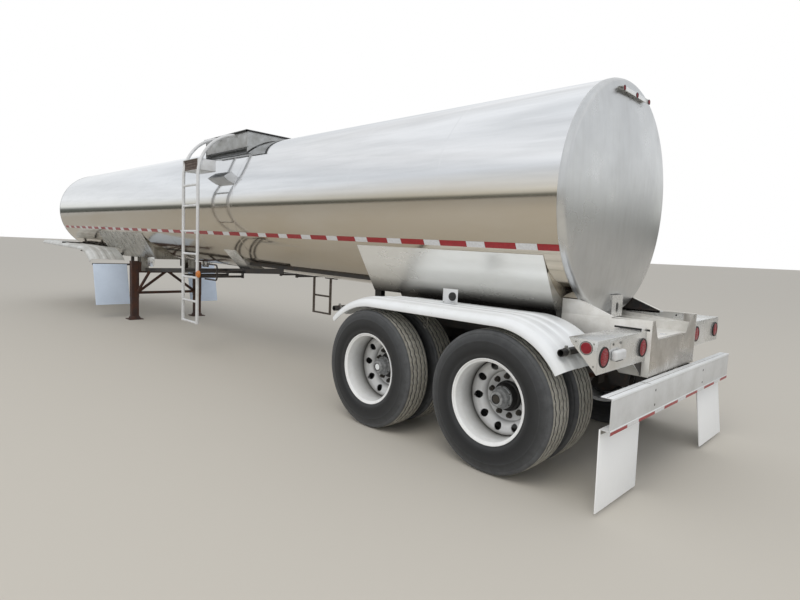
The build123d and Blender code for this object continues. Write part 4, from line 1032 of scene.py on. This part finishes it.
def buildBumper():
    part = {"x": -7.005, "low": 0.538, "top": 0.738, "depth": 0.071, "half": 1.219, "sheet": 0.0065,
            "topLip": 0.016, "lowLip": 0.009, "seam": 0.030, "boltHead": 0.0085, "weldFrom": 0.634,
            "weldTo": 0.640}
    # a narrow strip hangs under the lower lip and carries the tape
    strip = {"low": 0.516, "top": 0.5365, "red": 0.272, "white": 0.178, "start": -1.279, "end": 0.006}
    x, low, top, half, sheet = (part[key] for key in ("x", "low", "top", "half", "sheet"))
    bm = bmesh.new()
    addBox(bm, (x + 0.002, -half, low + 0.001), (x + sheet, half, top - 0.001), 0.0005)
    # painted highlight: the top flange takes the brighter white enamel
    addBox(bm, (x + 0.005, -half, top - sheet), (x + part["depth"], half, top - 0.0008), 0.002, 5)
    addBox(bm, (x + 0.005, -half, low + 0.0005), (x + part["depth"] - 0.012, half, low + sheet), 0.002)
    # painted highlight: the rolled corners take the brighter white enamel, as light lines above and below the
    # face
    for lipLow, lipTop in ((top - part["topLip"], top), (low, low + part["lowLip"])):
        addBox(bm, (x, -half, lipLow), (x + sheet, half, lipTop), 0.003, 5)
    # painted shade: a zinc strip along the top, behind the corner, stands for the dark groove there
    shadeStripX = x + part["seam"]
    addBox(bm, (shadeStripX, -half + 0.001, top - 0.002), (shadeStripX + 0.004, half - 0.001, top - 0.0004), 0.0, 2)
    for y in (0.535, -0.490):
        for z in (0.680, 0.582):
            addRod(bm, (x + 0.0014, y, z), (x + 0.004, y, z), part["boltHead"], 18, 1)
            addFastener(bm, (x + sheet + 0.001, y, z), (1, 0, 0), 0.011, 0.012, 2)
    # weld bead across the top where the bumper was joined
    addBox(bm, (x + 0.0004, part["weldFrom"], top - 0.004), (x + 0.068, part["weldTo"], top + 0.0004),
           0.0003, 2)
    addBox(bm, (x + 0.0010, -half + 0.002, strip["low"]), (x + 0.0055, half - 0.002, low + 0.004), 0.0012)
    place = strip["start"]
    color = 3
    end = half - strip["end"]
    while place < end - 0.004:
        stop = place + (strip["red"] if color == 3 else strip["white"])
        addBox(bm, (x + 0.0003, max(place, -end) + 0.001, strip["low"] + 0.001),
               (x + 0.0012, min(stop, end) - 0.001, strip["top"]), 0.0, color)
        place = stop
        color = 7 - color
    keepPiece(bm, "bumperBeam", [bumperShadedEnamel, blackRubber, zincPlate, redTape, whiteTape, whiteEnamel],
              ["bumper"])


def buildFlaps():
    rear = {"x": -6.9385, "thick": 0.009, "inner": 0.599, "outer": 1.199, "low": 0.023, "top": 0.535,
            "swings": ((1, 0.008), (-1, 0.062)),  # the right one hangs farther back
            "stripHigh": 0.030, "stripIn": 0.010}
    front = {"x": rearAxleX + 9.0475, "z": 0.651, "inner": 0.600, "outer": 1.203, "run": 0.175,
             "rise": 0.778, "thick": 0.009, "short": 0.004}
    bm = bmesh.new()
    x, low, top = rear["x"], rear["low"], rear["top"]
    for side, swing in rear["swings"]:
        inner = side * rear["inner"]
        outline = [(x, inner, top), (x + rear["thick"], inner, top), (x + rear["thick"] - swing, inner, low),
                   (x - swing, inner, low)]
        addPlate(bm, outline, (0, side * (rear["outer"] - rear["inner"]), 0), 0, 0.003)
        strip = sorted((side * (rear["inner"] + rear["stripIn"]), side * (rear["outer"] - rear["stripIn"])))
        addBox(bm, (x - 0.004, strip[0], top - rear["stripHigh"]), (x + 0.002, strip[1], top), 0.001, 1)
    keepPiece(bm, "rearFlaps", [flapRubber, zincPlate], ["rear_mud_flaps"])
    bm = bmesh.new()
    turn = Matrix.Rotation(atan2(front["run"], front["rise"]), 4, "Y")
    half = Vector((front["thick"] / 2, 0, hypot(front["run"], front["rise"]) / 2 - front["short"]))
    middle = Vector((front["x"], 0, front["z"]))
    addBox(bm, middle - half + Vector((0, front["inner"], 0)), middle + half + Vector((0, front["outer"], 0)),
           0.003, 0, turn)
    mirrored(bm)
    keepPiece(bm, "frontFlaps", [skyTintedFlap], ["front_mud_flaps"])


buildSidePlates()
buildCenterPanel()
buildLampBoxes()
buildRearLamps()
buildBumper()
buildFlaps()
print("rear end made")


# Ladders, top platform and manway

ladder = {
    "x": rearAxleX + 5.015, "halfWidth": 0.225, "y": 1.110, "tube": 0.021, "rung": 0.0155,
    "lowZ": 0.432, "bendZ": 2.400, "bendRadius": 0.600, "bendAngle": radians(90),
    "rungs": [0.445, 0.730, 1.050, 1.366, 1.670, 2.010, 2.280],
}
platform = {
    "x": rearAxleX + 5.060, "halfLength": 0.610, "halfWidth": 0.600, "top": 3.020, "low": 2.810,
    "sheet": 0.004,
}


def buildLadders():
    part = ladder
    arm = {"heights": (1.068, 1.133), "frameY": 0.456, "plateHalf": 0.035, "plateFrom": 0.4505,
           "plateTo": 0.4580, "plateLow": 1.045, "plateTop": 1.155, "boltZ": 1.1005}
    box = {"over": 0.004, "inner": 0.870, "outer": 1.118, "low": 2.470, "top": 2.620, "sheet": 0.004,
           "boards": 4, "pitch": 0.036, "board": 0.032, "boardIn": 0.030, "boardOut": 0.016}
    bm = bmesh.new()
    x, y, half = part["x"], part["y"], part["halfWidth"]
    for railX in (x - half, x + half):
        straight = Vector((0, 0, part["bendZ"] - part["lowZ"]))
        centre = Vector((railX, y - part["bendRadius"], part["bendZ"]))
        addTube(bm, (railX, y, part["lowZ"]), (0, 0, 1), part["tube"],
                [straight, (centre, (1, 0, 0), part["bendAngle"], 28)], 20)
        # two arms from each rail to the frame
        for z in arm["heights"]:
            addRod(bm, (railX, y - 0.012, z), (railX, arm["frameY"], z), part["rung"], 16, 3)
    for z in part["rungs"]:
        addRod(bm, (x - half, y, z), (x + half, y, z), part["rung"], 18)
    # a foot plate on the frame for each rail's arms
    for railX in (x - half, x + half):
        addBox(bm, (railX - arm["plateHalf"], arm["plateFrom"], arm["plateLow"]),
               (railX + arm["plateHalf"], arm["plateTo"], arm["plateTop"]), 0.0015, 3)
        addFastener(bm, (railX, arm["plateTo"], arm["boltZ"]), (0, 1, 0), 0.010, 0.008, 1)
    # step box hung between the rails, with brown boards across it
    sheet = box["sheet"]
    low = Vector((x - half - box["over"], box["inner"], box["low"]))
    high = Vector((x + half + box["over"], box["outer"], box["top"]))
    for first, last in (((low.x, low.y, low.z), (high.x, high.y, low.z + sheet)),
                        ((low.x, low.y, high.z - sheet), (high.x, high.y, high.z)),
                        ((low.x, low.y, low.z), (low.x + sheet, high.y, high.z)),
                        ((high.x - sheet, low.y, low.z), (high.x, high.y, high.z))):
        addBox(bm, first, last, 0.001)
    for index in range(box["boards"]):
        boardZ = low.z + 0.005 + index * box["pitch"]
        addBox(bm, (low.x + sheet, high.y - box["boardIn"], boardZ),
               (high.x - sheet, high.y - box["boardOut"], boardZ + box["board"]), 0.002, 2)
    mirrored(bm)
    # the right ladder is brown with grime
    for face in bm.faces:
        if face.material_index == 0 and face.calc_center_median().y < 0:
            face.material_index = 4
    keepPiece(bm, "ladders", [ladderPaint, zincPlate, stepBoard, framePaint, grimyLadder],
              ["ladder_left", "ladder_right"])


def buildPlatform():
    part = platform
    roof = {"over": 0.022, "z": part["top"] + 0.006, "opening": 0.330}
    shadeLine = {"half": 0.010, "ends": 0.012, "low": 0.010, "high": 0.005, "foot": 0.006, "bead": 0.011}
    wall = {"in": 0.010, "half": 0.002, "ends": 0.008, "footInner": 0.480, "footEnds": 0.004,
            "cutSteps": 24, "barrelGap": 0.002}
    bars = {"count": 11, "first": 0.060, "pitch": 0.110, "half": 0.008, "inner": 0.350, "outer": 0.560,
            "low": 0.008, "high": 0.013}
    rear, front = part["x"] - part["halfLength"], part["x"] + part["halfLength"]
    half, top, low, sheet = (part[key] for key in ("halfWidth", "top", "low", "sheet"))
    bm = bmesh.new()
    # roof sheet with a round opening for the manway, reaching out a little past the sides
    over = roof["over"]
    corners = [(rear - over, -half - over), (front + over, -half - over), (front + over, half + over),
               (rear - over, half + over)]
    outer = [bm.verts.new((x, y, roof["z"])) for x, y in corners]
    edges = [bm.edges.new((outer[i - 1], outer[i])) for i in range(4)]
    middle = Matrix.Translation((part["x"], 0, roof["z"]))
    edges += edgesAround(bmesh.ops.create_circle(bm, segments=72, radius=roof["opening"],
                                                 matrix=middle)["verts"])
    faces = facesOf(bmesh.ops.triangle_fill(bm, edges=edges, use_beauty=True)["geom"])
    made = bmesh.ops.extrude_face_region(bm, geom=faces, use_keep_orig=True)["geom"]
    bmesh.ops.translate(bm, vec=(0, 0, sheet), verts=vertsOf(made))
    paintNew(bm, 0)
    shadeLineLow, shadeLineHigh = top - shadeLine["low"], top + shadeLine["high"]
    for sign in (1, -1):
        # painted shade: a black strip under the roof's edge, along the side and the end
        sideY, endX = sign * half, part["x"] + sign * part["halfLength"]
        addBox(bm, (rear - shadeLine["ends"], sideY - shadeLine["half"], shadeLineLow),
               (front + shadeLine["ends"], sideY + shadeLine["half"], shadeLineHigh), 0.0, 1)
        addBox(bm, (endX - shadeLine["ends"], -half - shadeLine["half"], shadeLineLow),
               (endX + shadeLine["ends"], half + shadeLine["half"], shadeLineHigh), 0.0, 1)
        # side sheet set back under the rim of the top, with a gap between them that the black strip paints
        # dark
        wallY = sign * (half - wall["in"])
        addBox(bm, (rear + wall["ends"], wallY - wall["half"], low),
               (front - wall["ends"], wallY + wall["half"], top + 0.004), 0.001)
        # the foot closes the gap down to the barrel and carries a black strip of painted shade along its edge
        footY = sorted((sign * wall["footInner"], sideY))
        addBox(bm, (rear + wall["footEnds"], footY[0], low),
               (front - wall["footEnds"], footY[1], low + sheet), 0.001)
        addBox(bm, (rear, wallY - shadeLine["foot"], low - 0.004), (front, wallY + shadeLine["foot"], low + 0.006),
               0.0, 1)
    # end plates cut to the barrel
    for endX in (rear, front - sheet):
        seatZ = tankZ(endX + sheet / 2)
        radius = tank["radius"] + wall["barrelGap"]
        cut = []
        for index in range(wall["cutSteps"] + 1):
            y = -half + 2 * half * index / wall["cutSteps"]
            cut.append((y, seatZ + sqrt(radius ** 2 - y ** 2)))
        outline = [(half, top - 0.004), (-half, top - 0.004)] + cut
        addPlate(bm, [(endX, y, z) for y, z in outline], (sheet, 0, 0), 0, 0.0)
        # a black bead of painted shade between the plate and the barrel
        bead = cut + [(y, z + shadeLine["bead"]) for y, z in reversed(cut)]
        addPlate(bm, [(endX - 0.004, y, z) for y, z in bead], (sheet + 0.008, 0, 0), 1, 0.0)
    # raised bars of the walking surface on both sides of the lid
    for index in range(bars["count"]):
        barX = rear + bars["first"] + index * bars["pitch"]
        for sign in (1, -1):
            barY = sorted((sign * bars["inner"], sign * bars["outer"]))
            addBox(bm, (barX - bars["half"], barY[0], top + bars["low"]),
                   (barX + bars["half"], barY[1], top + bars["high"]), 0.0008)
    keepPiece(bm, "topPlatform", [weatheredSheet, blackRubber], ["top_platform"])


buildLadders()
buildPlatform()
print("ladders and platform made")


# Marker plates, lamps and other small parts on the body

def buildMarkers():
    plate = {"rear": rearAxleX + 0.510, "front": rearAxleX + 0.660, "y": 0.930, "foot": 1.1275,
             "top": 1.240, "half": 0.0018, "flangeWide": 0.026, "flange": 0.0036, "lampX": 0.048,
             "lampZ": 1.182, "boltIn": 0.020, "boltOut": 0.014}
    lampRound = [(0.0, 0.034), (0.012, 0.034, 0.002), (0.020, 0.028, 0.003), (0.026, 0.012, 0.004),
                 (0.027, 0.0)]
    rear, front, y, foot = (plate[key] for key in ("rear", "front", "y", "foot"))
    bm = bmesh.new()
    addBox(bm, (rear, y - plate["half"], foot), (front, y + plate["half"], plate["top"]), 0.0012)
    addBox(bm, (rear, y, foot), (front, y + plate["flangeWide"], foot + plate["flange"]), 0.0012)
    addLathe(bm, lampRound, (rear + plate["lampX"], y + 0.001, plate["lampZ"]), (0, 1, 0), 32, 1)
    for boltX in (rear + plate["boltIn"], front - plate["boltIn"]):
        addFastener(bm, (boltX, y + plate["boltOut"], foot + plate["flange"]), (0, 0, 1), 0.005, 0.004, 2)
    mirrored(bm)
    keepPiece(bm, "fenderMarkers", [ladderPaint, blackRubber, zincPlate], ["fender_markers"])


def buildLightBar():
    # folded bar over the rear rim, with a small lamp at each end and one in the middle
    bar = {"rear": tank["rearX"] - 0.090, "front": tank["rearX"] - 0.052, "z": 2.776, "half": 0.250,
           "faceHalf": 0.016, "foldLow": 0.0125, "foldTop": 0.0165, "arms": (-0.180, 0.180),
           "armHalf": 0.012, "lamps": (-0.235, 0.0, 0.235), "lampSize": 0.30}
    rear, front, z, half = (bar[key] for key in ("rear", "front", "z", "half"))
    bm = bmesh.new()
    addBox(bm, (rear, -half, z - bar["faceHalf"]), (rear + 0.004, half, z + bar["faceHalf"]), 0.0012)
    addBox(bm, (rear, -half, z + bar["foldLow"]), (front, half, z + bar["foldTop"]), 0.0012)
    for y in bar["arms"]:
        addBox(bm, (front - 0.010, y - bar["armHalf"], z + 0.001),
               (tank["rearX"] + 0.010, y + bar["armHalf"], z + 0.006), 0.001)
    for y in bar["lamps"]:
        addLamp(bm, (rear - 0.0002, y, z), (-1, 0, 0), bar["lampSize"], 2)
    keepPiece(bm, "rearLightBar", [satinStainless, blackRubber, redLens], ["rear_light_bar"])


def buildLadderLamps():
    # an amber lamp behind each ladder's rear rail, and a bent tube hook beside it
    railX = ladder["x"] - ladder["halfWidth"]
    lamp = {"place": (railX - 0.066, 1.104, 1.106), "steps": 36,
            "ring": [(0.0, 0.052), (0.012, 0.052, 0.002), (0.014, 0.048, 0.002)],
            "lens": [(0.012, 0.0485), (0.030, 0.0475, 0.006), (0.046, 0.036, 0.010), (0.050, 0.0)]}
    hook = {"start": (railX, 1.000, 1.040), "tube": 0.010, "reach": 0.300, "rise": 0.120, "bend": 0.040,
            "back": 0.240}
    bm = bmesh.new()
    addLathe(bm, lamp["ring"], lamp["place"], (0, 1, 0), lamp["steps"], 1)
    addLathe(bm, lamp["lens"], lamp["place"], (0, 1, 0), lamp["steps"], 0)
    addBox(bm, (railX - 0.070, 1.096, 1.080), (railX + 0.012, 1.104, 1.132), 0.0015, 2)
    # the hook: out to the rear, up, and forward again
    reach, rise = Vector((-hook["reach"], 0, 0)), Vector((0, 0, hook["rise"]))
    lowBend = Vector(hook["start"]) + reach + Vector((0, 0, hook["bend"]))
    addTube(bm, hook["start"], (-1, 0, 0), hook["tube"],
            [reach, (lowBend, (0, 1, 0), pi / 2, 8), rise, (lowBend + rise, (0, 1, 0), pi / 2, 8),
             Vector((hook["back"], 0, 0))], 14, 3)
    mirrored(bm)
    keepPiece(bm, "ladderLamps", [amberLens, blackRubber, ladderPaint, framePaint])


def buildFenderTubes():
    pipe = {"radius": 0.024, "bore": 0.0195, "mouth": 0.080, "clamps": (0.075, 0.330)}
    band = [(0.0, 0.0245), (0.0, 0.0275), (0.018, 0.0275), (0.018, 0.0245)]
    lug = {"half": 0.008, "from": 0.001, "to": 0.017, "low": 0.026, "high": 0.040}
    tubes = [  # x from the rear axle, z, inner y, outer y
        (-0.532, 0.941, 0.475, 1.200), (0.622, 1.072, 0.480, 1.165), (1.7218, 0.978, 0.452, 1.200),
    ]
    bm = bmesh.new()
    for offset, z, innerY, outerY in tubes:
        x, length, bottom = rearAxleX + offset, outerY - innerY, outerY - innerY - pipe["mouth"]
        addLathe(bm, [(0.0, 0.0), (0.0, pipe["radius"]), (length, pipe["radius"], 0.001),
                      (length, pipe["bore"])], (x, innerY, z), (0, 1, 0), 24, 0)
        # painted shade: the bore inside each open end is black
        addLathe(bm, [(length, pipe["bore"]), (bottom, pipe["bore"]), (bottom, 0.0)], (x, innerY, z),
                 (0, 1, 0), 24, 1)
        for clampY in (outerY - back for back in pipe["clamps"]):
            addLathe(bm, band, (x, clampY, z), (0, 1, 0), 24, 2, True)
            addBox(bm, (x - lug["half"], clampY + lug["from"], z + lug["low"]),
                   (x + lug["half"], clampY + lug["to"], z + lug["high"]), 0.001, 2)
    mirrored(bm)
    keepPiece(bm, "fenderTubes", [framePaint, blackRubber, zincPlate], ["fender_tubes"])


def buildUnderParts():
    splash = {"low": (rearAxleX + 0.830, 0.296, 0.700), "high": (rearAxleX + 1.380, 0.300, 0.930)}
    hook = {"x": rearAxleX + 0.860, "y": 0.900, "top": 1.030, "bendZ": 0.910, "bend": 0.020, "wire": 0.005,
            "end": 0.035}
    bracket = {"x": rearAxleX + 7.900, "y": 0.522, "thick": 0.005, "hole": 0.016,
               "outline": [(0, 1.225), (0.330, 1.200), (0.330, 1.045), (0.060, 1.045), (0, 1.120)],
               "holes": [(0.110, 1.120), (0.230, 1.095)]}
    collar = {"x": rearAxleX + 8.675, "y": 0.613, "low": 0.012, "top": 0.075, "foot": 0.115, "neck": 0.075}
    bm = bmesh.new()
    # painted shade: dark sheets inside the wheels, under the frame
    addBox(bm, splash["low"], splash["high"], 0.001, 0)
    # a wire hook under the fender
    addTube(bm, (hook["x"] - hook["bend"], hook["y"], hook["top"]), (0, 0, -1), hook["wire"],
            [Vector((0, 0, hook["bendZ"] - hook["top"])),
             ((hook["x"], hook["y"], hook["bendZ"]), (0, 1, 0), -pi, 10), Vector((0, 0, hook["end"]))], 10, 1)
    # bracket plates at the rear foot of the front skirt, with two bolt holes painted as dark discs of shade
    x, y = bracket["x"], bracket["y"]
    addPlate(bm, onSide(y, [(x + along, z) for along, z in bracket["outline"]]), (0, bracket["thick"], 0),
             2, 0.001)
    for along, z in bracket["holes"]:
        addRod(bm, (x + along, y - 0.002, z), (x + along, y + 0.0056, z), bracket["hole"], 20, 0)
    # flared collars where the landing gear's inner legs meet their feet
    addRod(bm, (collar["x"], collar["y"], collar["low"]), (collar["x"], collar["y"], collar["top"]),
           collar["foot"], 32, 3, 0.004, collar["neck"])
    mirrored(bm)
    keepPiece(bm, "underParts", [framePaint, dullZinc, satinStainless, rustedSteel])


buildMarkers()
buildUnderParts()
buildFenderTubes()
buildLightBar()
buildLadderLamps()
print("small parts made")


# CAD nodes that keep their own shape and take a material

nodeFinish = {
    "frame_rails": framePaint, "suspension_subframe": framePaint, "saddles": skirtStainless,
    "spring_hangers": framePaint, "suspension_links": framePaint, "axle_rear": framePaint,
    "axle_front": framePaint, "brake_chambers": framePaint, "air_reservoir": framePaint,
    "bumper_brackets": framePaint, "coupler_frame": framePaint, "front_flap_hangers": framePaint,
    "front_fender_arms": framePaint, "leaf_springs": rustedSteel,
    "landing_legs": rustedSteel, "landing_feet": rustedSteel, "landing_braces": rustedSteel,
    "coupler_plate": rustedSteel, "kingpin": zincPlate, "manway_neck": satinStainless,
    "manway_lid": satinStainless, "head_bracket": satinStainless, "outlet_pipe": satinStainless,
}


def dressNode(name, material):
    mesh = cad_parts[name].data
    mesh.materials.clear()
    mesh.materials.append(material)


for nodeName, finish in nodeFinish.items():
    dressNode(nodeName, finish)


# Stage, light and camera

def buildStage():
    stage = {"reach": 400.0, "floorColor": "C9C5BC"}
    bm = bmesh.new()
    bmesh.ops.create_circle(bm, cap_ends=True, segments=96, radius=stage["reach"])
    floor = addObject("floor", meshOf(bm, "floor"))
    made, tree, shader = startMaterial("paleFloor", Roughness=0.95, Specular_IOR_Level=0.1)
    shader.inputs["Base Color"].default_value = toLinear(stage["floorColor"])
    floor.data.materials.append(made)


def buildSky():
    # white to the camera; to the metal a pale overcast sky over a darker far line of ground
    world = bpy.data.worlds.new("overcast")
    bpy.context.scene.world = world
    world.use_nodes = True
    tree = world.node_tree
    tree.nodes.clear()
    direction = addNode(tree, "TexCoord").outputs["Generated"]
    up = addNode(tree, "SeparateXYZ", {0: direction}).outputs[2]
    stops = [(0.0, "7C7B76"), (0.05, "565852"), (0.085, "6F716C"), (0.115, "E2E3DE"),
             (0.20, "F6F8F9"), (0.42, "EEF1F4"), (0.62, "FAFBFC"), (1.0, "F4F7FA")]
    sky = addNode(tree, "ValToRGB", {0: scaled(tree, up, 0.0, 1.0, -0.05, 1.0)}, stops).outputs[0]
    cloudPlace = addNode(tree, "Mapping", {"Vector": direction, "Scale": (1.2, 1.2, 4.5)})
    cloud = addNode(tree, "TexNoise", {"Vector": cloudPlace.outputs[0], "Scale": 1.6, "Detail": 4.0})
    shade = scaled(tree, cloud.outputs[0], 0.86, 1.04, 0.35, 0.65)
    mirrorSky = addNode(tree, "Background", {"Color": sky, "Strength": shade})
    light = addNode(tree, "Background", {"Color": toLinear("FBFCFF"), "Strength": 0.80})
    white = addNode(tree, "Background", {"Color": (1.0, 1.0, 1.0, 1.0), "Strength": 1.0})
    rays = addNode(tree, "LightPath")
    forGloss = addNode(tree, "MixShader", {0: rays.outputs["Is Glossy Ray"], 1: light.outputs[0],
                                           2: mirrorSky.outputs[0]})
    seen = addNode(tree, "Math", {0: rays.outputs["Is Camera Ray"], 1: rays.outputs["Is Transmission Ray"]},
                   operation="MAXIMUM")
    final = addNode(tree, "MixShader", {0: seen.outputs[0], 1: forGloss.outputs[0], 2: white.outputs[0]})
    addNode(tree, "OutputWorld", {"Surface": final.outputs[0]})


def buildLights():
    lamp = {"place": (-9.0, 9.0, 14.0), "target": (-2.0, 0.0, 1.0), "size": 10.0, "watts": 700.0}
    data = bpy.data.lights.new("softKey", "AREA")
    data.shape = "DISK"
    data.size = lamp["size"]
    data.energy = lamp["watts"]
    data.color = toLinear("FFF9F0")[:3]
    key = addObject("softKey", data)
    key.location = lamp["place"]
    aim = Vector(lamp["target"]) - Vector(lamp["place"])
    key.rotation_euler = aim.to_track_quat("-Z", "Y").to_euler()
    key.visible_glossy = False


def buildCamera():
    view = {"place": (-8.2149, 4.1710, 1.5229), "heading": (0.7035, -0.7046, -0.0923),
            "roll": radians(2.4163), "lens": 23.824}
    data = bpy.data.cameras.new("photoCamera")
    data.lens = view["lens"]
    data.sensor_width = 36.0
    data.clip_end = 1000.0
    camera = addObject("photoCamera", data)
    camera.location = view["place"]
    turn = Vector(view["heading"]).to_track_quat("-Z", "Y") @ Quaternion((0, 0, 1), view["roll"])
    camera.rotation_euler = turn.to_euler()
    bpy.context.scene.camera = camera


buildStage()
buildSky()
buildLights()
buildCamera()
bpy.context.scene.view_settings.view_transform = "Standard"
print("stage made")
